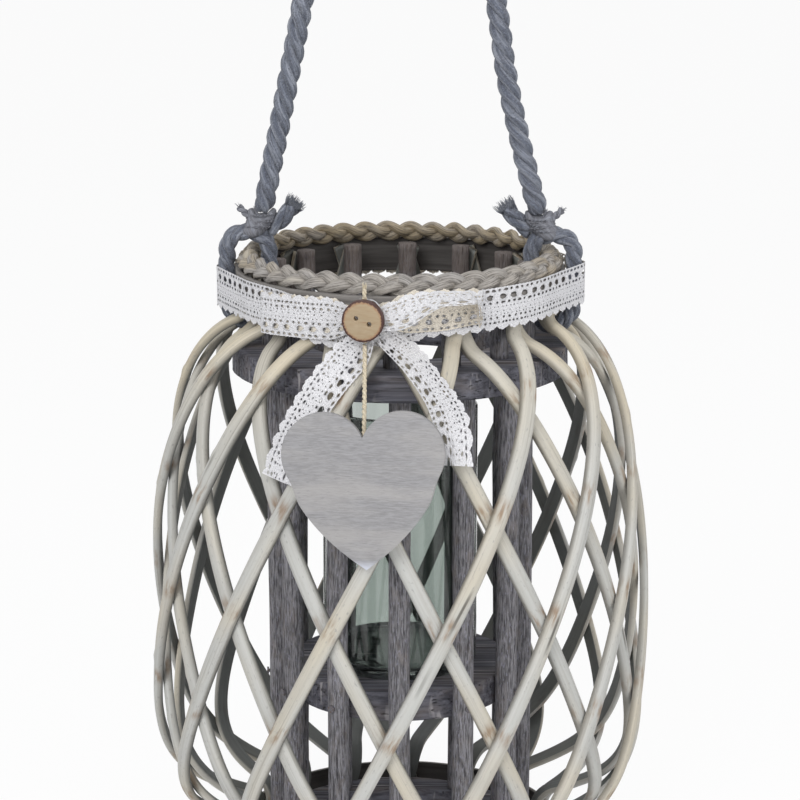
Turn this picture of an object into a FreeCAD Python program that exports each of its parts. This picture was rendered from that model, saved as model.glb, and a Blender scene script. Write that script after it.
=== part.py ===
import FreeCAD, Part
import math
import os

# Willow lantern: a glass cylinder on a shelf inside a ring of sticks, with a cage of split rods round it.
# Millimetres and degrees. +Z is up, -Y is the front, and the origin is the centre of the base on the floor.
# An azimuth is counted from the front towards +X.

V = FreeCAD.Vector
UP = V(0, 0, 1)

# General clearances
SEAT_GAP = 0.3
SOFT_GAP = 0.5

# Boards
BASE_THICKNESS = 18.0
BASE_HOLE_RADIUS = 71.0
SHELF_TOP = 142.0
SHELF_THICKNESS = 20.0
TOP_RING_DROP = 27.0
TOP_RING_THICKNESS = 18.0
TOP_RING_RADIUS = 113.0
TOP_RING_HOLE_RADIUS = 64.0

# Uprights and neck sticks
UPRIGHT_COUNT = 12
UPRIGHT_DIAMETER = 15.0
UPRIGHT_CIRCLE_RADIUS = 83.0
NECK_STICK_COUNT = 14
NECK_STICK_DIAMETER = 13.0
NECK_STICK_TO_BRAID = 6.0
NAIL_SHANK_DIAMETER = 2.4
NAIL_HEAD_DIAMETER = 5.0
NAIL_HEAD_THICKNESS = 1.2
NAIL_DEPTH_IN_SHELF = 12.0
NAIL_HOLE_CLEARANCE = 0.2

# Cage of split rods: the mid surface between the two layers, and the rods on it
RODS_PER_LAYER = 14
ROD_WIDTH = 11.0
ROD_THICKNESS = 6.0
LAYER_GAP = 0.8
NECK_RADIUS = 100.0
BELLY_RADIUS = 164.0
BELLY_HEIGHT = 160.0
SHOULDER_BEND_RADIUS = 14.0
SHOULDER_FLARE = 65.0
SHOULDER_REACH = 50.0
UPPER_BELLY_REACH = 110.0
HEEL_BEND_RADIUS = 14.0
HEEL_FLARE = 70.0
HEEL_REACH = 58.0
LOWER_BELLY_REACH = 75.0
ROD_FOOT = 2.0
TWIST_HEIGHT = 205.0
ROD_TWIST = 0.178
OUTER_ROD_AZIMUTH = 9.4
INNER_ROD_AZIMUTH = 9.6
LINE_SECTION_COUNT = 1
BEND_SECTION_COUNT = 4
UPPER_SECTION_COUNT = 14
LOWER_SECTION_COUNT = 9

# Hoops and rim braid
HOOP_THICKNESS = 3.0
NECK_HOOP_HEIGHT = 23.5
BASE_HOOP_HEIGHT = 24.0
HOOP_TO_BEND = 1.0
BRAID_HEIGHT = 422.0
BRAID_DIAMETER = 14.4

# Glass
GLASS_RADIUS = 52.5
GLASS_WALL = 3.0
GLASS_FLOOR = 6.0
GLASS_HEIGHT = 180.0

# Rope
ROPE_DIAMETER = 14.5
LOOP_ROPE_DIAMETER = 12.0
TIE_RADIUS = 10.0
TIE_DOME_SLOPE = 17.0
FRAY_DIAMETER = 11.0
FRAY_TIP_DIAMETER = 9.0
FRAY_LENGTH = 22.0
FRAY_LEAN = 30.0
PIVOT_RADIUS = 92.0
TIE_HEIGHT = 8.8
# The handle's line from a pivot to the top of the arch: distance from the middle, and rise above the pivot.
HANDLE_ROUTE = [(PIVOT_RADIUS, 0.0), (78.5, 68.0), (63.5, 133.0), (53.3, 200.3), (32.9, 228.3), (0.0, 239.0)]
ARC_SHARE = 0.45

# Lace band and bow, with heights above and drops below the bottom edge of the neck hoop
LACE_WIDTH = 28.0
LACE_THICKNESS = 1.0
LACE_RISE = 10.5
LACE_TILT = 1.2
BOW_AZIMUTH = -10.5
BOW_WIDTH = 28.0
BOW_RISE = 12.0
BOW_REACH = 74.0
BOW_DEPTH = 8.0
BOW_KNOT_LENGTH = 20.0
BOW_KNOT_DEPTH = 8.2
FLAT_LOOP_REACH = 84.0
FLAT_LOOP_DEPTH = 2.4
FLAT_LOOP_DROP = 5.0
FLAT_LOOP_SECTION_COUNT = 8
TAIL_WIDTH = 28.0
TAIL_THICKNESS = 1.2
TAIL_SECTION_COUNT = 7
TAIL_START_DROP = 17.0
# Azimuth where each tail leaves the knot and where it ends, and the drop of its end.
LEFT_TAIL = (-19.0, -28.0, 88.0)
RIGHT_TAIL = (-2.0, 15.0, 71.0)

# Button, string and heart, with heights above and drops below the bottom edge of the neck hoop
BUTTON_DIAMETER = 26.5
BUTTON_THICKNESS = 5.0
BUTTON_RISE = 11.0
BUTTON_HOLE_DIAMETER = 3.0
BUTTON_HOLE_SPACING = 9.0
STRING_DIAMETER = 3.2
STRING_KNOT_RISE = 31.0
HEART_AZIMUTH = -8.0
HEART_TILT = 6.5
HEART_THICKNESS = 5.0
HEART_INSIDE_BELLY = 2.0
HEART_NOTCH_DROP = 55.0
HEART_LOBE_RADIUS = 26.5
HEART_LOBE_SPACING = 49.0
HEART_LOBE_DROP = 10.0
HEART_LOBE_END = 32.0
HEART_DEPTH = 82.0

# Sizes that follow from those above
rope_radius = ROPE_DIAMETER / 2
loop_rope_radius = LOOP_ROPE_DIAMETER / 2
string_radius = STRING_DIAMETER / 2
layer_offset = (LAYER_GAP + ROD_THICKNESS) / 2
bundle_inside = NECK_RADIUS - LAYER_GAP / 2 - ROD_THICKNESS
bundle_outside = NECK_RADIUS + LAYER_GAP / 2 + ROD_THICKNESS
core_radius = bundle_inside - SEAT_GAP
hoop_inside = bundle_outside + SEAT_GAP
hoop_outside = hoop_inside + HOOP_THICKNESS
neck_stick_circle = core_radius - NECK_STICK_DIAMETER / 2
rod_lean = math.atan(NECK_RADIUS * math.radians(ROD_TWIST))
rod_top = BRAID_HEIGHT - BRAID_DIAMETER / 2 - SEAT_GAP - ROD_WIDTH / 2 * math.sin(rod_lean)
rod_pitch = 360.0 / RODS_PER_LAYER
# The rope loops pass through the widest gap between rods that is nearest to the sides.
first_gap = (OUTER_ROD_AZIMUTH + INNER_ROD_AZIMUTH) / 2
handle_azimuth = first_gap + round((90 - first_gap) / rod_pitch) * rod_pitch
loop_inner = bundle_inside - SEAT_GAP - loop_rope_radius
loop_outer = hoop_outside + SEAT_GAP + loop_rope_radius
loop_middle = (loop_inner + loop_outer) / 2
loop_radius = (loop_outer - loop_inner) / 2
# The neck hoop reaches up to the underside of the braid, and the rope loops turn below it.
braid_drop = math.sqrt((BRAID_DIAMETER / 2) ** 2 - (hoop_inside - loop_middle) ** 2)
neck_hoop_bottom = BRAID_HEIGHT - braid_drop - SEAT_GAP - NECK_HOOP_HEIGHT
top_ring_top = neck_hoop_bottom - TOP_RING_DROP
top_ring_underside = top_ring_top - TOP_RING_THICKNESS
loop_bottom = neck_hoop_bottom - HOOP_TO_BEND
loop_top = BRAID_HEIGHT + loop_radius + loop_rope_radius
tie_seat = loop_top + SEAT_GAP + TIE_HEIGHT
pivot_height = tie_seat + SEAT_GAP + rope_radius
lace_inside = hoop_outside + SOFT_GAP
lace_outside = lace_inside + LACE_THICKNESS
knot_front = lace_outside + SEAT_GAP + BOW_KNOT_DEPTH
string_line = knot_front + SEAT_GAP + string_radius
button_back = string_line + string_radius + SEAT_GAP
button_height = neck_hoop_bottom + BUTTON_RISE
string_exit = button_height - BUTTON_DIAMETER / 2 - STRING_DIAMETER
heart_notch_radius = BELLY_RADIUS - HEART_INSIDE_BELLY
heart_notch_height = neck_hoop_bottom - HEART_NOTCH_DROP


def spot(azimuth, radius, height):
    """Point at an azimuth, a radius and a height."""
    turn = math.radians(azimuth)
    return V(radius * math.sin(turn), -radius * math.cos(turn), height)


def ring(outer, inner, bottom, height):
    """Round plate with a round hole."""
    body = Part.makeCylinder(outer, height, V(0, 0, bottom))
    return body.cut(Part.makeCylinder(inner, height, V(0, 0, bottom)))


def save(name, *solids):
    """Write a node, as one solid or as a group of solids."""
    shape = solids[0] if len(solids) == 1 else Part.makeCompound(list(solids))
    if not shape.isValid():
        raise ValueError(name + " is not valid")
    for solid in shape.Solids:
        if solid.Volume <= 0:
            raise ValueError(name + " is inside out")
    shape.exportStep("parts/" + name + ".step")


def polar_edge(points, kind):
    """Edge through (radius, height) points in the plane of a meridian."""
    corners = [V(radius, 0, height) for radius, height in points]
    if kind == "line":
        return Part.LineSegment(*corners).toShape()
    if kind == "arc":
        return Part.Arc(*corners).toShape()
    curve = Part.BezierCurve()
    curve.setPoles(corners)
    return curve.toShape()


def bend_point(centre_height, radius, turned, down):
    """Point on the bend that leads a rod out of a hoop, after turning by some degrees."""
    angle = math.radians(turned)
    drop = radius * math.sin(angle)
    height = centre_height - drop if down else centre_height + drop
    return NECK_RADIUS + radius * (1 - math.cos(angle)), height


def meridian_edges():
    """The cage's profile from the neck down to the base, as tangent edges."""
    neck_bend = neck_hoop_bottom - HOOP_TO_BEND
    heel_bend = BASE_HOOP_HEIGHT + HOOP_TO_BEND
    shoulder = [bend_point(neck_bend, SHOULDER_BEND_RADIUS, share * SHOULDER_FLARE, True) for share in (0, 0.5, 1)]
    heel = [bend_point(heel_bend, HEEL_BEND_RADIUS, share * HEEL_FLARE, False) for share in (1, 0.5, 0)]
    flare = math.radians(SHOULDER_FLARE)
    kick = math.radians(HEEL_FLARE)
    belly = (BELLY_RADIUS, BELLY_HEIGHT)
    upper = [shoulder[2],
             (shoulder[2][0] + SHOULDER_REACH * math.sin(flare), shoulder[2][1] - SHOULDER_REACH * math.cos(flare)),
             (BELLY_RADIUS, BELLY_HEIGHT + UPPER_BELLY_REACH), belly]
    lower = [belly, (BELLY_RADIUS, BELLY_HEIGHT - LOWER_BELLY_REACH),
             (heel[0][0] + HEEL_REACH * math.sin(kick), heel[0][1] + HEEL_REACH * math.cos(kick)), heel[0]]
    return [
        (polar_edge([(NECK_RADIUS, rod_top), shoulder[0]], "line"), LINE_SECTION_COUNT),
        (polar_edge(shoulder, "arc"), BEND_SECTION_COUNT),
        (polar_edge(upper, "curve"), UPPER_SECTION_COUNT),
        (polar_edge(lower, "curve"), LOWER_SECTION_COUNT),
        (polar_edge(heel, "arc"), BEND_SECTION_COUNT),
        (polar_edge([heel[2], (NECK_RADIUS, ROD_FOOT)], "line"), LINE_SECTION_COUNT),
    ]


MERIDIAN = meridian_edges()


def meridian_length():
    """Length of the whole profile."""
    return sum(edge.Length for edge, count in MERIDIAN)


def meridian_at(distance):
    """Point on the profile and its outward normal, at a distance along it from the rod tops."""
    for edge, count in MERIDIAN:
        if distance <= edge.Length or edge is MERIDIAN[-1][0]:
            break
        distance -= edge.Length
    place = edge.getParameterByLength(min(max(distance, 0.0), edge.Length))
    point = edge.valueAt(place)
    along = edge.tangentAt(place).normalize()
    if edge.getParameterByLength(edge.Length) < edge.getParameterByLength(0):
        along = along.negative()
    return point, along, V(-along.z, 0, along.x)


def distance_at(height):
    """Distance along the profile, from the rod tops, to a height."""
    low, high = 0.0, meridian_length()
    for halving in range(40):
        middle = (low + high) / 2
        if meridian_at(middle)[0].z > height:
            low = middle
        else:
            high = middle
    return low


def cage_frame(distance, azimuth, turn_rate, offset):
    """Place, direction, outward normal and sideways direction of a strip that lies along the cage."""
    point, along, normal = meridian_at(distance)
    angle = math.radians(azimuth)
    outward = V(math.sin(angle), -math.cos(angle), 0)
    sideways = V(math.cos(angle), math.sin(angle), 0)
    direction = outward * along.x + UP * along.z + sideways * (point.x * math.radians(turn_rate))
    direction.normalize()
    face = outward * normal.x + UP * normal.z
    place = outward * point.x + UP * point.z + face * offset
    return place, direction, face, direction.cross(face)


def rod_section(place, face, across):
    """Half-round section of a split rod, with its round side outwards."""
    half = ROD_WIDTH / 2
    low = -ROD_THICKNESS / 2
    crown = place + face * (ROD_THICKNESS / 2)
    left = place - across * half + face * low
    right = place + across * half + face * low
    shoulder = math.sqrt(0.5)
    rise = low + ROD_THICKNESS * shoulder
    left_mid = place - across * (half * shoulder) + face * rise
    right_mid = place + across * (half * shoulder) + face * rise
    edges = [Part.LineSegment(left, right).toShape(), Part.Arc(right, right_mid, crown).toShape(),
             Part.Arc(crown, left_mid, left).toShape()]
    return Part.Wire(edges)


def rod_stations():
    """Distances along the profile where a rod has a section."""
    stations = [0.0]
    passed = 0.0
    for edge, count in MERIDIAN:
        stations += [passed + edge.Length * step / count for step in range(1, count + 1)]
        passed += edge.Length
    return stations


def rod(azimuth, lean, offset):
    """One split rod. It has the given azimuth at TWIST_HEIGHT and turns by lean times ROD_TWIST per mm."""
    middle = distance_at(TWIST_HEIGHT)
    wires = []
    for distance in rod_stations():
        turned = azimuth - lean * ROD_TWIST * (distance - middle)
        place, direction, face, across = cage_frame(distance, turned, -lean * ROD_TWIST, offset)
        wires.append(rod_section(place, face, across))
    return Part.makeLoft(wires, True, True)


def rounded_path(points):
    """Wire of straight runs joined by tangent arcs, and the arcs' radii."""
    edges = []
    radii = []
    start = points[0]
    for before, corner, after in zip(points, points[1:], points[2:]):
        run_in = corner - before
        run_out = after - corner
        half_turn = run_in.getAngle(run_out) / 2
        cut = ARC_SHARE * min(run_in.Length, run_out.Length)
        radius = cut / math.tan(half_turn)
        radii.append(radius)
        first = corner - V(run_in).normalize() * cut
        last = corner + V(run_out).normalize() * cut
        inward = (first + last) * 0.5 - corner
        depth = radius / math.cos(half_turn) - radius
        middle = corner + V(inward).normalize() * depth
        edges.append(Part.LineSegment(start, first).toShape())
        edges.append(Part.Arc(first, middle, last).toShape())
        start = last
    edges.append(Part.LineSegment(start, points[-1]).toShape())
    return Part.Wire(edges), radii


def tube(path, radius):
    """Round tube along a path of tangent edges."""
    start = path.Edges[0]
    circle = Part.Wire([Part.makeCircle(radius, start.valueAt(start.FirstParameter),
                                        start.tangentAt(start.FirstParameter))])
    return path.makePipeShell([circle], True, False)


def handle_point(across, height):
    """Point in the handle's plane."""
    return spot(handle_azimuth, across, height)


def boards():
    upright_reach = UPRIGHT_DIAMETER / 2
    shelf_radius = UPRIGHT_CIRCLE_RADIUS - upright_reach - SEAT_GAP
    save("base_ring", ring(core_radius, BASE_HOLE_RADIUS, 0, BASE_THICKNESS))
    save("top_ring", ring(TOP_RING_RADIUS, TOP_RING_HOLE_RADIUS, top_ring_underside, TOP_RING_THICKNESS))
    shelf = Part.makeCylinder(shelf_radius, SHELF_THICKNESS, V(0, 0, SHELF_TOP - SHELF_THICKNESS))
    nail_height = SHELF_TOP - SHELF_THICKNESS / 2
    outside = UPRIGHT_CIRCLE_RADIUS + upright_reach
    shank_length = outside - shelf_radius + NAIL_DEPTH_IN_SHELF
    shank_radius = NAIL_SHANK_DIAMETER / 2
    nails = []
    for number in range(UPRIGHT_COUNT):
        azimuth = 360.0 * number / UPRIGHT_COUNT
        upright_length = top_ring_underside - BASE_THICKNESS
        foot = spot(azimuth, UPRIGHT_CIRCLE_RADIUS, BASE_THICKNESS)
        upright = Part.makeCylinder(upright_reach, upright_length, foot)
        outer_end = spot(azimuth, outside, nail_height)
        inward = spot(azimuth, -1, 0)
        hole = Part.makeCylinder(shank_radius + NAIL_HOLE_CLEARANCE, shank_length, outer_end, inward)
        shank = Part.makeCylinder(shank_radius, shank_length, outer_end, inward)
        head = Part.makeCylinder(NAIL_HEAD_DIAMETER / 2, NAIL_HEAD_THICKNESS, outer_end, inward.negative())
        save("upright_%02d" % (number + 1), upright.cut(hole))
        shelf = shelf.cut(hole)
        nails.append(shank.fuse(head).removeSplitter())
    save("shelf_disc", shelf)
    save("nails", *nails)


def neck():
    stick_length = BRAID_HEIGHT - NECK_STICK_TO_BRAID - top_ring_top
    sticks = []
    for number in range(NECK_STICK_COUNT):
        azimuth = handle_azimuth + (number + 0.5) * 360.0 / NECK_STICK_COUNT
        foot = spot(azimuth, neck_stick_circle, top_ring_top)
        sticks.append(Part.makeCylinder(NECK_STICK_DIAMETER / 2, stick_length, foot))
    save("neck_sticks", *sticks)
    save("neck_hoop", ring(hoop_outside, hoop_inside, neck_hoop_bottom, NECK_HOOP_HEIGHT))
    save("base_hoop", ring(hoop_outside, hoop_inside, 0, BASE_HOOP_HEIGHT))
    save("rim_braid", Part.makeTorus(loop_middle, BRAID_DIAMETER / 2, V(0, 0, BRAID_HEIGHT)))


def cage():
    outer = rod(0, 1, layer_offset)
    inner = rod(0, -1, -layer_offset)
    for number in range(RODS_PER_LAYER):
        for name, shape, first in (("outer", outer, OUTER_ROD_AZIMUTH), ("inner", inner, INNER_ROD_AZIMUTH)):
            placed = shape.copy()
            placed.rotate(V(0, 0, 0), UP, first + number * rod_pitch)
            save("%s_rod_%02d" % (name, number + 1), placed)


def glass():
    body = Part.makeCylinder(GLASS_RADIUS, GLASS_HEIGHT, V(0, 0, SHELF_TOP))
    hollow = Part.makeCylinder(GLASS_RADIUS - GLASS_WALL, GLASS_HEIGHT, V(0, 0, SHELF_TOP + GLASS_FLOOR))
    save("glass_cylinder", body.cut(hollow))


def rope_loop(side):
    """Closed loop of rope that goes round the rim and the hoop."""
    def at(across, height):
        return handle_point(side * across, height)
    inner_low = at(loop_inner, loop_bottom)
    inner_high = at(loop_inner, BRAID_HEIGHT)
    outer_low = at(loop_outer, loop_bottom)
    outer_high = at(loop_outer, BRAID_HEIGHT)
    path = Part.Wire([
        Part.LineSegment(inner_low, inner_high).toShape(),
        Part.Arc(inner_high, at(loop_middle, BRAID_HEIGHT + loop_radius), outer_high).toShape(),
        Part.LineSegment(outer_high, outer_low).toShape(),
        Part.Arc(outer_low, at(loop_middle, loop_bottom - loop_radius), inner_low).toShape(),
    ])
    return tube(path, loop_rope_radius)


def rope_tie(side):
    """Lashing on top of a loop, under the end of the handle, with the frayed rope end beside it."""
    rim = tie_seat - TIE_RADIUS * math.tan(math.radians(TIE_DOME_SLOPE))
    bottom = loop_top + SEAT_GAP
    profile = Part.makePolygon([V(0, 0, bottom), V(TIE_RADIUS, 0, bottom), V(TIE_RADIUS, 0, rim), V(0, 0, tie_seat),
                                V(0, 0, bottom)])
    lashing = Part.Face(profile).revolve(V(0, 0, 0), UP, 360)
    lashing.translate(handle_point(side * PIVOT_RADIUS, 0))
    lean = math.radians(FRAY_LEAN)
    foot_reach = FRAY_DIAMETER / 2 * math.cos(lean)
    root = handle_point(side * (PIVOT_RADIUS - TIE_RADIUS - SEAT_GAP - foot_reach), bottom)
    direction = handle_point(-side * math.sin(lean), math.cos(lean))
    fray = Part.makeCone(FRAY_DIAMETER / 2, FRAY_TIP_DIAMETER / 2, FRAY_LENGTH, root, direction)
    return lashing, fray


def rope():
    loops = [rope_loop(side) for side in (-1, 1)]
    save("rope_loops", *loops)
    save("rope_ties", *(rope_tie(-1) + rope_tie(1)))
    half = [handle_point(-across, pivot_height + rise) for across, rise in HANDLE_ROUTE]
    other = [handle_point(across, pivot_height + rise) for across, rise in reversed(HANDLE_ROUTE[:-1])]
    path, radii = rounded_path(half + other)
    handle = tube(path, rope_radius)
    for end, beyond in ((path.Edges[0].valueAt(path.Edges[0].FirstParameter), half[1]), (other[-1], other[-2])):
        axis = (end - beyond).normalize()
        handle = handle.fuse(Part.makeSphere(rope_radius, end, axis, 0, 90, 360))
    save("rope_handle", handle)
    print("handle radii", [round(radius) for radius in radii])
    print("handle length %.1f, volume ratio %.4f" % (path.Length, handle.Volume / (
        math.pi * rope_radius ** 2 * path.Length + 4 / 3 * math.pi * rope_radius ** 3)))


def belt(reach, rope_reach):
    """Face inside a belt drawn tight round the neck and over both rope loops."""
    face = Part.Face(Part.Wire([Part.makeCircle(reach)]))
    spread = math.degrees(math.acos((reach - rope_reach) / loop_outer))
    for side in (0, 180):
        azimuth = handle_azimuth + side
        centre = spot(azimuth, loop_outer, 0)
        left, right = azimuth - spread, azimuth + spread
        near_left, near_right = spot(left, reach, 0), spot(right, reach, 0)
        far_left, far_right = centre + spot(left, rope_reach, 0), centre + spot(right, rope_reach, 0)
        tip = centre + spot(azimuth, rope_reach, 0)
        outline = Part.Wire([
            Part.LineSegment(near_left, far_left).toShape(), Part.Arc(far_left, tip, far_right).toShape(),
            Part.LineSegment(far_right, near_right).toShape(), Part.LineSegment(near_right, near_left).toShape()])
        face = face.fuse(Part.Face(outline))
    return face.removeSplitter()


def lace():
    inside = belt(lace_inside, loop_rope_radius + SOFT_GAP)
    outside = belt(lace_outside, loop_rope_radius + SOFT_GAP + LACE_THICKNESS)
    lace_height = neck_hoop_bottom + LACE_RISE
    tall = 3 * LACE_WIDTH
    band = outside.extrude(V(0, 0, tall)).cut(inside.extrude(V(0, 0, tall)))
    band.translate(V(0, 0, lace_height - tall / 2))
    wide = 2 * (loop_outer + ROPE_DIAMETER)
    slab = Part.makeBox(2 * wide, 2 * wide, LACE_WIDTH, V(-wide, -wide, -LACE_WIDTH / 2))
    slab.rotate(V(0, 0, 0), V(0, 1, 0), -LACE_TILT)
    slab.translate(V(0, 0, lace_height))
    save("lace_band", band.common(slab).Solids[0])


def bow_point(along, depth, height):
    """Point in front of the lace, by its distance along the band from the button and its depth off the band."""
    base = lace_outside + SEAT_GAP
    return spot(BOW_AZIMUTH + math.degrees(along / base), base + depth, height)


def bow_loop():
    """Gathered knot with an open loop of ribbon to the right and a loop pressed flat to the left."""
    low = neck_hoop_bottom + BOW_RISE - BOW_WIDTH / 2
    start, end = BOW_KNOT_LENGTH / 2, BOW_REACH
    wall = LACE_THICKNESS

    def side(inset):
        back, front = inset, BOW_DEPTH - inset
        middle = BOW_DEPTH / 2
        tip = end - inset
        root = start + 2 * inset
        turn = tip - (front - back) / 2
        centre = (root + turn) / 2
        return Part.Wire([
            Part.Arc(bow_point(root, back, low), bow_point(centre, back, low), bow_point(turn, back, low)).toShape(),
            Part.Arc(bow_point(turn, back, low), bow_point(tip, middle, low), bow_point(turn, front, low)).toShape(),
            Part.Arc(bow_point(turn, front, low), bow_point(centre, front, low),
                     bow_point(root, front, low)).toShape(),
            Part.LineSegment(bow_point(root, front, low), bow_point(root, back, low)).toShape()])

    ribbon = Part.Face(side(0)).extrude(UP * BOW_WIDTH).cut(Part.Face(side(wall)).extrude(UP * BOW_WIDTH))
    knot = Part.Face(Part.Wire([
        Part.Arc(bow_point(-start, 0, low), bow_point(0, 0, low), bow_point(start, 0, low)).toShape(),
        Part.LineSegment(bow_point(start, 0, low), bow_point(start, BOW_DEPTH, low)).toShape(),
        Part.Arc(bow_point(start, BOW_DEPTH, low), bow_point(0, BOW_KNOT_DEPTH, low),
                 bow_point(-start, BOW_DEPTH, low)).toShape(),
        Part.LineSegment(bow_point(-start, BOW_DEPTH, low), bow_point(-start, 0, low)).toShape()]))
    sections = []
    for step in range(FLAT_LOOP_SECTION_COUNT + 1):
        share = step / FLAT_LOOP_SECTION_COUNT
        along = -start - (FLAT_LOOP_REACH - start) * share
        bottom = low - FLAT_LOOP_DROP * share
        top = bottom + BOW_WIDTH
        sections.append(Part.makePolygon([
            bow_point(along, 0, bottom), bow_point(along, FLAT_LOOP_DEPTH, bottom),
            bow_point(along, FLAT_LOOP_DEPTH, top), bow_point(along, 0, top), bow_point(along, 0, bottom)]))
    pressed = Part.makeLoft(sections, True, True)
    save("bow_loop", ribbon.fuse([knot.extrude(UP * BOW_WIDTH), pressed]).removeSplitter())


def tail(start_azimuth, end_azimuth, end_drop):
    """Ribbon end that hangs over the shoulder of the cage."""
    offset = LAYER_GAP / 2 + ROD_THICKNESS + SOFT_GAP + TAIL_THICKNESS / 2
    first = distance_at(neck_hoop_bottom - TAIL_START_DROP)
    length = distance_at(neck_hoop_bottom - end_drop) - first
    rate = (end_azimuth - start_azimuth) / length
    wires = []
    for step in range(TAIL_SECTION_COUNT):
        run = length * step / (TAIL_SECTION_COUNT - 1)
        place, direction, face, across = cage_frame(first + run, start_azimuth + rate * run, rate, offset)
        half = across * (TAIL_WIDTH / 2)
        thick = face * (TAIL_THICKNESS / 2)
        wires.append(Part.makePolygon([place - half - thick, place + half - thick, place + half + thick,
                                       place - half + thick, place - half - thick]))
    return Part.makeLoft(wires, True, False)


def button():
    outward = spot(BOW_AZIMUTH, 1, 0)
    back = spot(BOW_AZIMUTH, button_back, button_height)
    body = Part.makeCylinder(BUTTON_DIAMETER / 2, BUTTON_THICKNESS, back, outward)
    sideways = spot(BOW_AZIMUTH + 90, BUTTON_HOLE_SPACING / 2, 0)
    for shift in (sideways, sideways.negative()):
        body = body.cut(Part.makeCylinder(BUTTON_HOLE_DIAMETER / 2, BUTTON_THICKNESS, back + shift, outward))
    save("wood_button", body)


def heart_frame():
    """The heart's outward, sideways and upward directions."""
    tilt = math.radians(HEART_TILT)
    outward = spot(HEART_AZIMUTH, math.cos(tilt), math.sin(tilt))
    sideways = spot(HEART_AZIMUTH + 90, 1, 0)
    return outward, sideways, outward.cross(sideways)


def heart():
    """Flat heart. Its outline starts at the notch, goes round a lobe and down a side to the tip, and back."""
    outward, sideways, upward = heart_frame()
    notch = spot(HEART_AZIMUTH, heart_notch_radius, heart_notch_height)

    def at(across, rise):
        return notch + sideways * across + upward * rise

    middle = HEART_LOBE_SPACING / 2
    end = math.radians(-HEART_LOBE_END)
    lobe_end = (middle + HEART_LOBE_RADIUS * math.cos(end), -HEART_LOBE_DROP + HEART_LOBE_RADIUS * math.sin(end))
    drop = HEART_DEPTH + lobe_end[1]
    chord = math.hypot(lobe_end[0], drop)
    bulge = chord / 2 * math.tan((math.atan2(lobe_end[0], drop) + end) / 2)
    side_mid = (lobe_end[0] / 2 + bulge * drop / chord, (lobe_end[1] - HEART_DEPTH) / 2 - bulge * lobe_end[0] / chord)
    crown = (middle, HEART_LOBE_RADIUS - HEART_LOBE_DROP)
    root = math.sqrt(HEART_LOBE_RADIUS ** 2 - middle ** 2) - HEART_LOBE_DROP
    edges = []
    for hand in (1, -1):
        edges.append(Part.Arc(at(0, root), at(hand * crown[0], crown[1]), at(hand * lobe_end[0], lobe_end[1])).toShape())
        edges.append(Part.Arc(at(hand * lobe_end[0], lobe_end[1]), at(hand * side_mid[0], side_mid[1]),
                              at(0, -HEART_DEPTH)).toShape())
    outline = Part.Wire(Part.__sortEdges__(edges))
    save("heart_tag", Part.Face(outline).extrude(outward * HEART_THICKNESS))


def string():
    """Fixed string behind the button, and the hanging string that ends at the heart's back."""
    knot_bottom = string_exit + string_radius
    knot_length = neck_hoop_bottom + STRING_KNOT_RISE - knot_bottom
    knot = Part.makeCylinder(string_radius, knot_length, spot(BOW_AZIMUTH, string_line, knot_bottom))
    save("string_knot", knot)
    outward, sideways, upward = heart_frame()
    start = spot(BOW_AZIMUTH, string_line, string_exit)
    back = SEAT_GAP + string_radius
    end = spot(HEART_AZIMUTH, heart_notch_radius, heart_notch_height) - outward * back - upward * STRING_DIAMETER
    line = end - start
    body = Part.makeCylinder(string_radius, line.Length, start, line)
    body = body.fuse(Part.makeSphere(string_radius, start)).fuse(Part.makeSphere(string_radius, end))
    save("heart_string", body.removeSplitter())
    print("string from", start, "to", end)


def main():
    os.makedirs("parts", exist_ok=True)
    boards()
    neck()
    cage()
    glass()
    rope()
    lace()
    bow_loop()
    save("bow_tail_left", tail(*LEFT_TAIL))
    save("bow_tail_right", tail(*RIGHT_TAIL))
    button()
    heart()
    string()


main()
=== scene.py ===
import math
import random

import bmesh
import bpy
from bpy.props import FloatProperty, FloatVectorProperty, IntProperty, PointerProperty
from mathutils import Matrix, Vector, noise
from mathutils.geometry import interpolate_bezier


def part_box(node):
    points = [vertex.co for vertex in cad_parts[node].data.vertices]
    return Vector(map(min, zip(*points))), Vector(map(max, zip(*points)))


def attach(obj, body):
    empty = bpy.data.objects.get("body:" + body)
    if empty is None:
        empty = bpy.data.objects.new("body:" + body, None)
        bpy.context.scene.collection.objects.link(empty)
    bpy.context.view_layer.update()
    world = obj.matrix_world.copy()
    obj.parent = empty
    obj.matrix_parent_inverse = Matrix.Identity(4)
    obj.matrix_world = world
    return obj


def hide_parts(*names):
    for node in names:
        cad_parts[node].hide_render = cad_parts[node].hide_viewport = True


bl_info = {
    "name": "Willow Lantern",
    "version": (1, 0, 0),
    "blender": (4, 5, 0),
    "location": "View3D > Sidebar > Lantern",
    "description": "Dresses the packed willow lantern with rods, sticks, braid, rope, lace, glass and a heart",
    "category": "Object",
}

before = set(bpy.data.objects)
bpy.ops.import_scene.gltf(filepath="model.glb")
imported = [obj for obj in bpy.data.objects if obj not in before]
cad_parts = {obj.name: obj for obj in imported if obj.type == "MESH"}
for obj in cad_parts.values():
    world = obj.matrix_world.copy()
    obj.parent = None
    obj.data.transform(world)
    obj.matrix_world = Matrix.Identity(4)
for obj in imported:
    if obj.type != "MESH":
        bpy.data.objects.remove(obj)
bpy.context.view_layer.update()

MM = 0.001
UP = Vector((0, 0, 1))
HANDLE_AZIMUTH = 86.642857
BOW_AZIMUTH = -10.5

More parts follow.
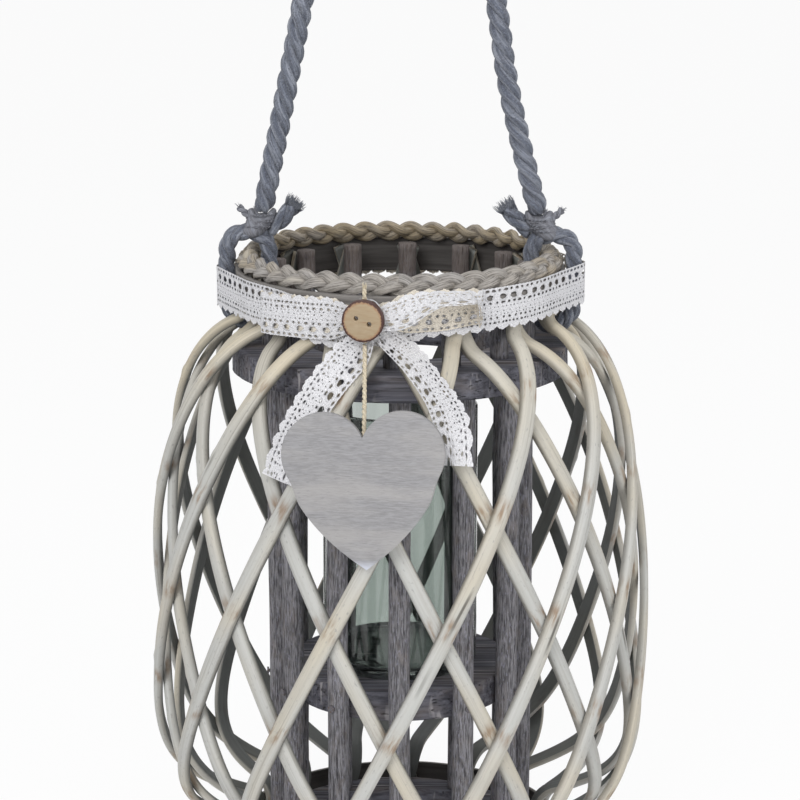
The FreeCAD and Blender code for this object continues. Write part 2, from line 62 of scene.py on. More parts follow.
# Cage: the lean is in degrees round the axis for each millimetre along a rod. A rod's layer and the cage's face are
# distances from the cage's mid line.
ROD_COUNT = 14
ROD_LEAN = 0.178
ROD_TOP, ROD_FOOT = 412.868, 2.0
CAGE_STEPS = 184
NECK_RADIUS = 100.0
BELLY_RADIUS, BELLY_HEIGHT = 164.0, 160.0
BELLY_TOP, BELLY_BOTTOM = 270.0, 85.0
BEND_RADIUS = 14.0
NECK_FLARE, HEEL_FLARE = 65.0, 70.0
NECK_PULL, HEEL_PULL = 50.0, 58.0
CROSSING_HEIGHT = 205.0
ROD_LAYER = 3.4
CAGE_FACE = 6.9

# Boards: radius of each ring's hole
HOLES = {"base_ring": 71.0, "top_ring": 64.0, "base_hoop": 106.7, "neck_hoop": 106.7}

# Sticks: circle that they stand on and their radius
UPRIGHT_COUNT = 12
UPRIGHT_CIRCLE, UPRIGHT_RADIUS = 83.0, 7.5
NECK_STICK_CIRCLE, NECK_STICK_RADIUS = 86.8, 6.5

# Rope: lines as distances from the axis and heights, in the handle's plane
HANDLE_ROUTE = [(-90.0, 459.0), (-76.0, 527.0), (-63.2, 592.0), (-51.8, 659.3), (-32.2, 687.3), (-0.5, 698.0),
                (31.0, 687.3), (50.5, 659.3), (63.2, 592.0), (71.5, 527.0), (90.0, 459.0)]
HANDLE_RADIUS = 7.25
FOOT_STEPS = (1.9, 3.8, 5.5, 6.9, 7.8)
LOOP_ROUTE = [(87.3, 400), (87.3, 420), (88.2, 434), (101.65, 439.5), (115.1, 434), (116, 420), (116, 400),
              (115.4, 384), (101.65, 374.8), (87.9, 384)]
LOOP_RADIUS = 6.0
LOOP_CIRCLE = 116.0
FRAY_ROUTE = [(87.0, 440.0), (80.5, 445.0), (75.5, 450.0), (71.0, 455.5)]
LASH_CIRCLE, LASH_TOP = 92.0, 448.4
LASH_ENDS = 446.0
WINDINGS, WINDING_STEPS = 5, 24

# Lace: distances from the axis, the band's dip beside the button, heights over the neck hoop's foot, cuts of the bow,
# and the tails as azimuth, lift off the cage and height
BAND_REACH, BAND_ROPE_REACH = 110.7, 7.0
BAND_DIP = 8.0
BAND_LIFT, BOW_LIFT = 10.5, 12.0
BOW_REACH = 111.5
KNOT_REACH = 116.0
OPEN_CUT, PRESSED_CUT = 140.0, 152.0
TAIL_ROUTES = {
    "left": [(-9.8, None, 398), (-11.2, None, 389), (-15.4, 1.6, 373), (-20.5, 1.4, 357), (-24.5, 1.4, 337),
             (-26.8, 1.4, 320), (-28.3, 1.4, 303)],
    "right": [(-7.0, None, 398), (-3.5, None, 389), (2.5, 1.4, 375), (8.0, 1.4, 362), (11.6, 1.6, 349),
              (13.0, 1.8, 335), (12.2, 1.6, 315)],
}

# Heart: where its string starts, where it hangs, and how far it and the button are turned
STRING_START = Vector((-22.160, -119.564, 387.618))
HEART_HANG = Vector((-22.334, -158.913, 334.673))
STRING_RADIUS, STRING_KNOT_REACH = 1.6, 121.6
HEART_TURN, BUTTON_TURN = 2.8, 23.0


def srgb(red, green, blue):
    """Scene colour of a paint given as 0 to 255."""
    made = []
    for part in (red / 255, green / 255, blue / 255):
        made.append(part / 12.92 if part <= 0.04045 else ((part + 0.055) / 1.055) ** 2.4)
    return tuple(made)


def length_prop(name, about, default):
    return FloatProperty(name=name, description=about, default=default, min=0.0, unit="LENGTH", precision=5)


def colour_prop(name, about, red, green, blue):
    return FloatVectorProperty(name=name, description=about, default=srgb(red, green, blue), min=0.0, max=1.0,
                               size=3, subtype="COLOR")


class LanternSizes(bpy.types.PropertyGroup):
    """Sizes of the dressed pieces."""
    rod_width: length_prop("Rod width", "Width of a split willow rod", 0.0110)
    rod_thickness: length_prop("Rod thickness", "Thickness of a split willow rod", 0.0060)
    rope_lay: length_prop("Rope lay", "Length of one turn of a rope strand", 0.037)
    braid_turns: IntProperty(name="Braid turns", description="Crossings of one strand round the rim", default=13, min=5)
    lace_width: length_prop("Lace width", "Width of the lace ribbon", 0.028)
    eyelet_pitch: length_prop("Eyelet pitch", "Distance between two large eyelets of the lace", 0.0097)
    twine: length_prop("Twine", "Thickness of the lashing twine", 0.0022)


class LanternColours(bpy.types.PropertyGroup):
    """Colours of the finishes."""
    willow: colour_prop("Willow", "Grey-washed face of a rod", 187, 187, 183)
    willow_tan: colour_prop("Tan willow", "Warmer patches of a rod", 197, 187, 166)
    # Painted shade: the inner split face of the rods is darkened to stand for the shade inside the cage.
    willow_inner_shade: colour_prop("Split face", "Dark inner face of a rod", 106, 110, 108)
    stain: colour_prop("Stain", "Brown stain beside a crossing", 128, 96, 62)
    stick: colour_prop("Stick", "Weathered bark of the sticks", 150, 148, 152)
    stick_dark: colour_prop("Dark bark", "Furrows of the bark", 80, 78, 82)
    board: colour_prop("Board", "Sawn face of the boards", 112, 112, 122)
    hoop: colour_prop("Hoop", "Bent wood of the hoops", 138, 134, 130)
    grass: colour_prop("Sea grass", "Grey side of the braid", 166, 163, 161)
    grass_tan: colour_prop("Tan sea grass", "Warm side of the braid", 166, 150, 122)
    rope: colour_prop("Rope", "Slate cotton rope", 99, 106, 121)
    rope_light: colour_prop("Rope fibre", "Light fibres of the rope", 172, 177, 189)
    twine: colour_prop("Twine", "Lashing twine", 136, 136, 142)
    lace: colour_prop("Lace", "White cotton lace", 238, 237, 239)
    # Painted shade: the lace's reverse side, seen inside the bow's loops, gets a warm cream tint for the shade there.
    lace_reverse_shade: colour_prop("Lace reverse", "Reverse side of the lace", 242, 232, 214)
    button: colour_prop("Button", "Face of the wooden button", 164, 146, 119)
    burnt: colour_prop("Burnt rim", "Burnt rim of the button", 62, 32, 26)
    string: colour_prop("String", "Cream cotton string", 226, 215, 192)
    heart: colour_prop("Heart", "Grey-washed face of the heart", 150, 149, 151)
    # Painted highlight: the heart's pale worn tip is lightened further.
    heart_tip_highlight: colour_prop("Heart tip", "Pale tip of the heart", 205, 209, 222)
    # Painted shade: the glass is tinted grey to stand for the shaded back of the lantern seen through it.
    glass: colour_prop("Glass", "Clear glass", 200, 207, 203)
    iron: colour_prop("Iron", "Nail heads", 118, 116, 122)


def sizes():
    return bpy.context.scene.lantern_sizes


def colours():
    return bpy.context.scene.lantern_colours


# Small tools for shapes. Points are in millimetres until they reach a mesh.

def smooth(value, low=0.0, high=1.0):
    """Soft step from 0 at low to 1 at high."""
    share = min(max((value - low) / (high - low), 0.0), 1.0)
    return share * share * (3 - 2 * share)


def wobble(seed, x, y=0.0, z=0.0):
    """Steady unevenness from about -1 to 1."""
    return noise.noise(Vector((x + 17.31 * seed, y - 9.17 * seed, z + 5.73 * seed)))


def spot(azimuth, radius, height):
    """Point at an azimuth from the front, a radius and a height."""
    turn = math.radians(azimuth)
    return Vector((radius * math.sin(turn), -radius * math.cos(turn), height))


def seam(share):
    """Share of a full turn. Its end is its start."""
    return share if share < 0.9999 else 0.0


def spoke(first, second, angle):
    """Direction at an angle in the plane of two directions."""
    return first * math.cos(angle) + second * math.sin(angle)


def arc(radius, height, size, turns):
    """Radius and height of points on an arc, by their angles."""
    angles = [math.radians(turn) for turn in turns]
    return [(radius + size * math.cos(angle), height + size * math.sin(angle)) for angle in angles]


def heading(points, index):
    """Direction of a line of points at one of them."""
    return (points[min(index + 1, len(points) - 1)] - points[max(index - 1, 0)]).normalized()


def square_to(tangent, way):
    """A direction turned square to a tangent."""
    return (way - tangent * way.dot(tangent)).normalized()


def round_size(node):
    """Radius, bottom and top of a node, in millimetres."""
    low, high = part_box(node)
    return high.x / MM, low.z / MM, high.z / MM


def marks_along(points):
    """Distance of each point along a line of points."""
    marks = [0.0]
    for before, after in zip(points, points[1:]):
        marks.append(marks[-1] + (after - before).length)
    return marks


def wrap(bm, along, across, place, span, shift=0.0, turned=False):
    """Flat grid wrapped into shape by place(u, v). Its UV map holds metres along and across."""
    uv = bm.loops.layers.uv.verify()
    verts = bmesh.ops.create_grid(bm, x_segments=along, y_segments=across, size=0.5)["verts"]
    for face in {face for vert in verts for face in vert.link_faces}:
        face.smooth = True
        for loop in face.loops:
            flat = loop.vert.co
            rise = 0.5 - flat.y if turned else 0.5 + flat.y
            loop[uv].uv = ((flat.x + 0.5) * span[0] * MM + shift, rise * span[1] * MM)
    for vert in verts:
        vert.co = place(vert.co.x + 0.5, vert.co.y + 0.5) * MM


def lathe(bm, profile, around, span, shape=spot):
    """Profile of radii and heights turned round the axis. The shape may dent it."""
    count = len(profile) - 1
    wrap(bm, around, count, lambda u, v: shape(360 * seam(u), *profile[round(v * count)]), span)


def closed(bm):
    """Merges seams, closes open ends and turns the faces outwards."""
    bmesh.ops.remove_doubles(bm, verts=bm.verts[:], dist=2e-6)
    rims = [edge for edge in bm.edges if edge.is_boundary]
    if rims:
        bmesh.ops.holes_fill(bm, edges=rims, sides=0)
    bmesh.ops.recalc_face_normals(bm, faces=bm.faces[:])
    return bm


def face_front(bm):
    """Turns a ribbon's faces so that its foremost part shows the right side."""
    bm.normal_update()
    foremost = min(bm.faces, key=lambda face: face.calc_center_median().y)
    if foremost.normal.y > 0:
        bmesh.ops.reverse_faces(bm, faces=bm.faces[:])
    return bm


def finished_mesh(name, bm):
    """Mesh made of a bmesh, which is then given up."""
    mesh = bpy.data.meshes.new(name)
    bm.to_mesh(mesh)
    bm.free()
    return mesh


def add_object(name, data):
    """New object, linked to the scene."""
    made = bpy.data.objects.new(name, data)
    bpy.context.scene.collection.objects.link(made)
    return made


def add_piece(name, bm, material, body="lantern", nodes=()):
    """Object from a mesh, with its finish, its body and the nodes that it stands for."""
    mesh = finished_mesh(name, bm)
    mesh.materials.append(material)
    piece = add_object(name, mesh)
    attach(piece, body)
    if nodes:
        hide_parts(*nodes)
    return piece


def spline_points(controls, resolution, cyclic=False):
    """Points along a smooth spline with these control points."""
    curve = bpy.data.curves.new("route", "CURVE")
    curve.dimensions = "3D"
    line = curve.splines.new("NURBS")
    line.points.add(len(controls) - 1)
    for point, control in zip(line.points, controls):
        point.co = (control.x * MM, control.y * MM, control.z * MM, 1.0)
    line.order_u = 3
    line.use_cyclic_u = cyclic
    line.use_endpoint_u = not cyclic
    line.resolution_u = resolution
    holder = bpy.data.objects.new("route", curve)
    mesh = bpy.data.meshes.new_from_object(holder)
    points = [vert.co / MM for vert in mesh.vertices]
    bpy.data.objects.remove(holder)
    bpy.data.curves.remove(curve)
    bpy.data.meshes.remove(mesh)
    if cyclic:
        points.append(points[0].copy())
    return points


def carried_frames(points, first_normal):
    """Distance, normal and side at each point, with the normal carried along without twist."""
    rows = []
    normal = Vector(first_normal)
    for index, passed in enumerate(marks_along(points)):
        tangent = heading(points, index)
        normal = square_to(tangent, normal)
        rows.append((passed, normal, tangent.cross(normal)))
    return rows


def twisted(bm, points, first_normal, radius, lay, strands=3, hand=-1, taper=None, around=14, plump=1.1, seed=1):
    """Rope of twisted strands along points. The taper gives its thickness at each distance."""
    rows = carried_frames(points, first_normal)
    strand_radius = radius / (1 + 1 / math.sin(math.pi / strands)) * plump
    offset = radius - strand_radius
    last = len(points) - 1
    for strand in range(strands):
        phase = 2 * math.pi * strand / strands
        centres, outs = [], []
        for (passed, normal, side), point in zip(rows, points):
            turn = hand * 2 * math.pi * passed / lay + phase
            out = spoke(normal, side, turn)
            thick = taper(passed) if taper else 1.0
            centres.append(point + out * offset * thick)
            outs.append(out)

        def place(u, v):
            index = round(u * last)
            tangent = heading(centres, index)
            out = square_to(tangent, outs[index])
            thick = taper(rows[index][0]) if taper else 1.0
            across = spoke(out, tangent.cross(out), 2 * math.pi * v)
            base = centres[index]
            rough = wobble(seed, *(base + across * strand_radius) * 0.35) * 0.05
            return base + across * strand_radius * thick * (1 + rough)

        wrap(bm, last, around, place, (rows[-1][0], 2 * math.pi * strand_radius), 0.13 * strand)


def fibre(bm, points, radius, around=4):
    """Thin tapering fibre or twine end through a few points."""
    rows = carried_frames(points, Vector((0.31, 0.83, 0.46)))
    last = len(points) - 1

    def place(u, v):
        index = round(u * last)
        normal, side = rows[index][1:]
        return points[index] + spoke(normal, side, 2 * math.pi * v) * (radius * (1 - 0.75 * u))

    wrap(bm, last, around, place, (rows[-1][0], 2 * math.pi * radius))


def node_mesh(node):
    """Merged copy of a node's own mesh with its flat faces whole."""
    bm = bmesh.new()
    bm.from_mesh(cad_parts[node].data)
    bmesh.ops.remove_doubles(bm, verts=bm.verts[:], dist=2e-6)
    bmesh.ops.dissolve_limit(bm, angle_limit=math.radians(0.05), verts=bm.verts[:], edges=bm.edges[:])
    return bm


def soften_edges(bm, width, segments=3):
    """Rounds every sharp edge."""
    sharp = [edge for edge in bm.edges if edge.is_manifold and edge.calc_face_angle() > math.radians(40)]
    bmesh.ops.bevel(bm, geom=sharp, offset=width * MM, offset_type="OFFSET", segments=segments, profile=0.5,
                    affect="EDGES", material=-1, clamp_overlap=True)
    for face in bm.faces:
        face.smooth = True


# The cage's profile, from the rod tops down to the feet

def cage_profile():
    """The cage's mid line at even steps: distance, point, direction and outward normal."""
    neck_bend = round_size("neck_hoop")[1] - 1.0
    heel_bend = round_size("base_hoop")[2] + 1.0
    shares = [step / 12 for step in range(13)]
    centre = NECK_RADIUS + BEND_RADIUS
    bends = (arc(centre, neck_bend, BEND_RADIUS, [180 + NECK_FLARE * share for share in shares]),
             arc(centre, heel_bend, BEND_RADIUS, [180 - HEEL_FLARE * (1 - share) for share in shares]))
    shoulder, heel = ([Vector((radius, 0, height)) for radius, height in bend] for bend in bends)
    flare, kick = math.radians(NECK_FLARE), math.radians(HEEL_FLARE)
    belly = Vector((BELLY_RADIUS, 0, BELLY_HEIGHT))
    below_neck = shoulder[-1] + Vector((math.sin(flare), 0, -math.cos(flare))) * NECK_PULL
    above_heel = heel[0] + Vector((math.sin(kick), 0, math.cos(kick))) * HEEL_PULL
    upper = interpolate_bezier(shoulder[-1], below_neck, Vector((BELLY_RADIUS, 0, BELLY_TOP)), belly, 120)
    lower = interpolate_bezier(belly, Vector((BELLY_RADIUS, 0, BELLY_BOTTOM)), above_heel, heel[0], 90)
    raw = [Vector((NECK_RADIUS, 0, ROD_TOP)), *shoulder, *upper[1:], *lower[1:], *heel[1:],
           Vector((NECK_RADIUS, 0, ROD_FOOT))]
    marks = marks_along(raw)
    rows = []
    place = 0
    for step in range(CAGE_STEPS + 1):
        distance = marks[-1] * step / CAGE_STEPS
        while place < len(raw) - 2 and marks[place + 1] < distance:
            place += 1
        run = raw[place + 1] - raw[place]
        share = (distance - marks[place]) / max(marks[place + 1] - marks[place], 1e-9)
        point = raw[place] + run * min(share, 1.0)
        rows.append([distance, point])
    for index, row in enumerate(rows):
        along = rows[min(index + 1, CAGE_STEPS)][1] - rows[max(index - 1, 0)][1]
        along.normalize()
        row += [along, Vector((-along.z, 0, along.x))]
    return rows


CAGE = cage_profile()
CAGE_MIDDLE = next(row[0] for row in CAGE if row[1].z <= CROSSING_HEIGHT)
CROSSING_PITCH = 360 / ROD_COUNT / (2 * ROD_LEAN)


def cage_spot(height, azimuth, offset):
    """Point over the cage at a height, lifted off its mid line."""
    nearest = min(CAGE, key=lambda row: abs(row[1].z - height))
    lifted = nearest[1] + nearest[3] * offset
    return spot(azimuth, lifted.x, lifted.z)


# Finishes

class Wire:
    """Value that runs between shader nodes. Arithmetic with it adds math nodes."""

    def __init__(self, graph, socket):
        self.graph = graph
        self.socket = socket

    def math(self, operation, *others, clamp=False):
        inputs = dict(enumerate((self, *others)))
        return self.graph.wire("Math", inputs, operation=operation, use_clamp=clamp)

    def __add__(self, other):
        return self.math("ADD", other)

    def __sub__(self, other):
        return self.math("SUBTRACT", other)

    def __mul__(self, other):
        return self.math("MULTIPLY", other)

    def __truediv__(self, other):
        return self.math("DIVIDE", other)

    def __abs__(self):
        return self.math("ABSOLUTE")

    def fraction(self):
        return self.math("FRACT")

    def least(self, other):
        return self.math("MINIMUM", other)

    def most(self, other):
        return self.math("MAXIMUM", other)

    def span(self, low, high, to_low=0.0, to_high=1.0):
        """Soft step from one range to another."""
        inputs = dict(enumerate((self, low, high, to_low, to_high)))
        return self.graph.wire("MapRange", inputs, interpolation_type="SMOOTHSTEP")


class Graph:
    """Node tree that is being built."""

    def __init__(self, tree):
        self.tree = tree

    def plug(self, value, socket):
        """Gives a socket a constant or links a wire or another socket to it."""
        if isinstance(value, Wire):
            value = value.socket
        if isinstance(value, bpy.types.NodeSocket):
            self.tree.links.new(value, socket)
        else:
            socket.default_value = value

    def add(self, kind, inputs=None, **settings):
        """New shader node with its settings and inputs."""
        made = self.tree.nodes.new("ShaderNode" + kind)
        for key, value in settings.items():
            setattr(made, key, value)
        for key, value in (inputs or {}).items():
            self.plug(value, made.inputs[key])
        return made

    def wire(self, kind, inputs=None, output=0, **settings):
        """One output of a new node."""
        return Wire(self, self.add(kind, inputs, **settings).outputs[output])

    def wires(self, made):
        """Outputs of a node by name."""
        return {socket.name: Wire(self, socket) for socket in made.outputs}

    def coords(self, kind="Object"):
        return self.wire("TexCoord", output=kind)

    def split(self, vector):
        return self.wires(self.add("SeparateXYZ", {0: vector})).values()

    def join(self, *parts):
        return self.wire("CombineXYZ", dict(enumerate(parts)))

    def scaled(self, vector, factors):
        return self.wire("VectorMath", {0: vector, 1: factors}, operation="MULTIPLY")

    def length(self, vector):
        return self.wire("VectorMath", {0: vector}, "Value", operation="LENGTH")

    def cloud(self, vector, scale, detail=3.0, roughness=0.55):
        """Noise. A scale of three numbers stretches it."""
        if isinstance(scale, tuple):
            vector, scale = self.scaled(vector, scale), 1.0
        return self.wire("TexNoise", {"Vector": vector, "Scale": scale, "Detail": detail, "Roughness": roughness})

    def group(self, name, inputs, build):
        """Outputs of a shader group, which is built when it is first asked for."""
        tree = bpy.data.node_groups.get(name) or new_group(name, inputs, build)
        return self.wires(self.add("Group", inputs, node_tree=tree))

    def grain(self, vector, along, across):
        return self.group("Wood grain", {"Vector": vector, "Along": along, "Across": across}, grain_group)

    def fibres(self, vector, slant, fineness):
        return self.group("Strand fibres", {"Vector": vector, "Slant": slant, "Fineness": fineness}, fibre_group)


def new_group(name, labels, build):
    """Shader group with a vector and numbers going in. The builder gives what comes out, by name."""
    tree = bpy.data.node_groups.new(name, "ShaderNodeTree")
    for label in labels:
        kind = "NodeSocketVector" if label == "Vector" else "NodeSocketFloat"
        tree.interface.new_socket(name=label, in_out="INPUT", socket_type=kind)
    graph = Graph(tree)
    made = build(graph, graph.wires(tree.nodes.new("NodeGroupInput")))
    for label in made:
        tree.interface.new_socket(name=label, in_out="OUTPUT", socket_type="NodeSocketFloat")
    sink = tree.nodes.new("NodeGroupOutput")
    for label, value in made.items():
        graph.plug(value, sink.inputs[label])
    return tree


def grain_group(graph, source):
    """Wood grain along the first axis: streaks, broad mottling and fine dark cracks."""
    ratio = graph.join(source["Along"], source["Across"], source["Across"])
    base = graph.scaled(source["Vector"], ratio)
    return {"Streak": graph.cloud(base, 1.0, 5.0, 0.6),
            "Mottle": graph.cloud(base, (0.6, 0.16, 0.16)),
            "Crack": graph.cloud(base, (0.45, 1.3, 1.3), 2.0).span(0.60, 0.70)}


def fibre_group(graph, source):
    """Matted fibres along a strand: fine slanting lines and loose tufts."""
    along, across, rest = graph.split(source["Vector"])
    fineness = source["Fineness"]
    lines = graph.join(along * (fineness * 0.09), (along * source["Slant"] + across) * fineness)
    return {"Line": graph.cloud(lines, 1.0, 4.0, 0.65),
            "Tuft": graph.cloud(lines, (0.35, 0.22, 1.0), 4.0, 0.6).span(0.42, 0.72)}


# Rows of holes in the lace: height, holes in a pitch, phase, half length and half height of a hole
EYELETS = ((0.930, 2, 0.0, 0.26, 0.028), (0.775, 1, 0.0, 0.27, 0.068), (0.645, 2, 0.5, 0.22, 0.026),
           (0.545, 3, 0.0, 0.10, 0.013), (0.440, 2, 0.3, 0.07, 0.014), (0.370, 3, 0.5, 0.09, 0.013),
           (0.300, 2, 0.3, 0.17, 0.026), (0.190, 3, 0.0, 0.24, 0.022))


def lace_group(graph, source):
    """Lace ribbon: rows of holes and toothed edges, in metres along and across the ribbon."""
    along, across, rest = graph.split(source["Vector"])
    warp = graph.cloud(source["Vector"], 260.0, 2.0) * 0.5 - 0.25
    steps = along / source["Pitch"] + warp
    rise = across / source["Width"]
    nearest = None
    for centre, holes, phase, half_length, half_height in EYELETS:
        aside = ((steps * holes + phase).fraction() - 0.5) / half_length
        above = (rise - centre) / half_height
        far = aside * aside + above * above
        nearest = nearest.least(far) if nearest else far
    tooth, picot = (abs((steps * turn).math("SINE")) for turn in (math.pi, 3 * math.pi))
    low_edge = rise - (picot * -0.022 + (tooth * -0.085 + 0.107))
    high_edge = (picot * 0.010 + rise) * -1.0 + 1.0
    kept = low_edge.least(high_edge).span(-0.004, 0.004)
    knots = graph.wire("TexVoronoi", {"Vector": source["Vector"], "Scale": 1100.0})
    return {"Thread": nearest.span(0.72, 1.05) * kept,
            "Height": knots * -0.7 + nearest.span(0.9, 2.2, 1.0, 0.0)}


class Finish(Graph):
    """Material that takes coats of colour, one over the other."""

    def __init__(self, name, base):
        self.material = bpy.data.materials.new(name)
        self.material.use_nodes = True
        super().__init__(self.material.node_tree)
        self.base = base

    def set(self, label, value):
        self.plug(value, self.tree.nodes["Principled BSDF"].inputs[label])

    def mix(self, share, *layers):
        """Mix of two colours, each a wire, a colour property or a paint given as 0 to 255."""
        inputs = {0: share}
        for key, layer in zip((6, 7), layers):
            if not isinstance(layer, Wire):
                layer = (*(srgb(*layer) if isinstance(layer, tuple) else layer), 1.0)
            inputs[key] = layer
        return self.wire("Mix", inputs, 2, data_type="RGBA")

    def coat(self, colour, share):
        self.base = self.mix(share, self.base, colour)

    def done(self, roughness, height=None, depth=0.0, strength=0.0):
        """The material, with its colours, its roughness and bumps of this height."""
        self.set("Base Color", self.base)
        self.set("Roughness", roughness)
        if height:
            self.set("Normal", self.wire("Bump", {"Strength": strength, "Distance": depth, "Height": height}))
        return self.material


def finish_once(name, maker):
    """A finish by its name, made the first time it is asked for."""
    return bpy.data.materials.get(name) or maker(name)


def willow_finish(name):
    paint = colours()
    look = Finish(name, paint.willow)
    uv = look.coords("UV")
    x, y, height = look.split(look.coords())
    along, across, rest = look.split(uv)
    grain = look.grain(uv, 16.0, 520.0)
    broad = look.cloud(uv, (9.0, 30.0, 1.0), 2.0)
    warm = height.span(0.27, 0.40, 0.0, 0.55).math("ADD", broad.span(0.42, 0.68, 0.0, 0.75), clamp=True)
    look.coat(paint.willow_tan, warm)
    look.coat((156, 151, 142), grain["Streak"].span(0.42, 0.68, 0.0, 0.32))
    look.coat((104, 94, 82), grain["Crack"] * 0.35)
    crossing = ((along - CAGE_MIDDLE * MM) / (CROSSING_PITCH * MM)).fraction()
    near = abs((crossing + 0.62).fraction() - 0.5)
    blotch = look.cloud(uv, (60.0, 260.0, 1.0)).span(0.42, 0.68)
    look.coat(paint.stain, near.span(0.02, 0.14, 1.0, 0.0) * blotch * 0.75)
    groove = abs(across - (broad * 0.006 + 0.0045))
    pith = look.cloud(uv, (7.0, 0.0, 0.0), 2.0).span(0.59, 0.65)
    look.coat((74, 70, 62), pith * groove.span(0.0004, 0.0012, 0.85, 0.0))
    speck = look.cloud(uv, (260.0, 700.0, 1.0), 2.0)
    look.coat((138, 136, 134), speck.span(0.60, 0.74, 0.0, 0.6))
    edge = across.least(abs(across - 0.015))
    look.coat((112, 106, 96), edge.span(0.0006, 0.0026, 0.45, 0.0))
    # Painted shade: the inner split face is darkened with a mottled grey to stand for the shade inside the cage.
    shaded_split_face = look.mix(grain["Mottle"], paint.willow_inner_shade, (64, 66, 64))
    look.coat(shaded_split_face, across.span(0.0140, 0.0152) * 0.9)
    return look.done(grain["Streak"].span(0.2, 0.8, 0.48, 0.72), grain["Streak"], 0.0004, 0.5)


def stick_finish(name):
    paint = colours()
    look = Finish(name, paint.stick_dark)
    x, y, z = look.split(look.coords())
    upright = look.join(z, x, y)
    grain = look.grain(upright, 110.0, 980.0)
    look.coat(paint.stick, grain["Streak"].span(0.34, 0.62))
    look.coat((138, 126, 116), grain["Mottle"].span(0.48, 0.78, 0.0, 0.45))
    glint = look.cloud(upright, (260.0, 1000.0, 1000.0), 2.0)
    look.coat((172, 172, 190), glint.span(0.56, 0.72, 0.0, 0.55))
    look.coat((94, 82, 74), z.span(0.385, 0.400, 0.0, 0.75))
    look.coat((46, 43, 45), grain["Crack"] * 0.55)
    height = grain["Streak"] - grain["Crack"] * 0.6
    return look.done(grain["Streak"].span(0.2, 0.8, 0.95, 0.65), height, 0.0011, 0.9)


def board_finish(name):
    look = Finish(name, (66, 65, 72))
    grain = look.grain(look.coords(), 9.0, 330.0)
    look.coat(colours().board, grain["Streak"].span(0.3, 0.7))
    look.coat((124, 112, 102), grain["Mottle"].span(0.45, 0.8, 0.0, 0.7))
    splinter = look.cloud(look.coords(), (10.0, 420.0, 30.0), 2.0)
    look.coat((168, 164, 166), splinter.span(0.58, 0.70, 0.0, 0.8))
    look.coat((24, 22, 24), grain["Crack"] * 0.8)
    height = grain["Streak"] - grain["Crack"]
    return look.done(grain["Streak"].span(0.2, 0.8, 0.9, 0.65), height, 0.0012, 0.9)


def hoop_finish(name):
    look = Finish(name, (92, 88, 86))
    grain = look.grain(look.coords("UV"), 12.0, 520.0)
    look.coat(colours().hoop, grain["Streak"].span(0.3, 0.7))
    look.coat((46, 42, 40), grain["Crack"] * 0.7)
    look.coat((164, 160, 158), grain["Mottle"].span(0.5, 0.8, 0.0, 0.5))
    x, y, z = look.split(look.coords())
    # Painted shade: the hoop's inner face round the hole is darkened.
    look.coat((44, 40, 38), look.length(look.join(x, y)).span(0.1078, 0.1070, 0.0, 0.8))
    return look.done(grain["Streak"].span(0.2, 0.8, 0.8, 0.6), grain["Streak"], 0.0007, 0.7)


def grass_finish(name):
    paint = colours()
    look = Finish(name, paint.grass)
    uv = look.coords("UV")
    x, y, z = look.split(look.coords())
    line = look.fibres(uv, 0.05, 1100.0)["Line"]
    broad = look.cloud(uv, (24.0, 70.0, 1.0), 2.0)
    behind = y.span(-0.05, 0.06, 0.25, 1.0) * broad.span(0.3, 0.6, 0.4, 1.0)
    beside = abs(x).span(0.060, 0.098, 0.0, 0.7) * broad.span(0.35, 0.6)
    look.coat(paint.grass_tan, behind.most(beside))
    look.coat((72, 68, 64), line.span(0.32, 0.60, 0.85, 0.0))
    look.coat((200, 193, 178), broad.span(0.55, 0.75, 0.0, 0.5))
    return look.done(line.span(0.2, 0.8, 0.8, 0.5), line, 0.0008, 0.9)


def rope_finish(name):
    look = Finish(name, (84, 86, 97))
    look.set("Sheen Weight", 0.25)
    threads = look.fibres(look.coords("UV"), -0.65, 1500.0)
    look.coat(colours().rope, threads["Line"].span(0.32, 0.62))
    look.coat(colours().rope_light, threads["Tuft"] * 0.8)
    fleck = look.cloud(look.coords(), 900.0, 2.0)
    look.coat((66, 66, 72), fleck.span(0.56, 0.70, 0.0, 0.65))
    look.coat((148, 152, 166), fleck.span(0.44, 0.32, 0.0, 0.5))
    return look.done(0.95, threads["Line"] + fleck * 0.6, 0.0016, 1.0)


def twine_finish(name):
    look = Finish(name, (84, 85, 92))
    threads = look.fibres(look.coords("UV"), 0.8, 1800.0)
    look.coat(colours().twine, threads["Line"].span(0.3, 0.65))
    look.coat(colours().rope_light, threads["Tuft"] * 0.5)
    return look.done(0.95, threads["Line"], 0.0006, 0.8)


def lace_finish(name):
    look = Finish(name, colours().lace)
    look.set("Sheen Weight", 0.1)
    uv = look.coords("UV")
    inputs = {"Vector": uv, "Pitch": sizes().eyelet_pitch, "Width": sizes().lace_width}
    pattern = look.group("Lace holes", inputs, lace_group)
    look.set("Alpha", pattern["Thread"])
    weave = look.cloud(uv, 1300.0, 2.0)
    look.coat((184, 184, 191), weave.span(0.36, 0.60, 0.42, 0.0))
    # Painted shade: the reverse side of the lace gets a warm cream tint.
    look.coat(colours().lace_reverse_shade, look.wire("NewGeometry", output="Backfacing") * 0.8)
    return look.done(0.9, pattern["Height"] + weave, 0.0009, 1.0)


def string_finish(name):
    look = Finish(name, (176, 160, 132))
    line = look.fibres(look.coords("UV"), 0.7, 2600.0)["Line"]
    look.coat(colours().string, line.span(0.3, 0.6))
    return look.done(0.9, line, 0.0004, 0.8)


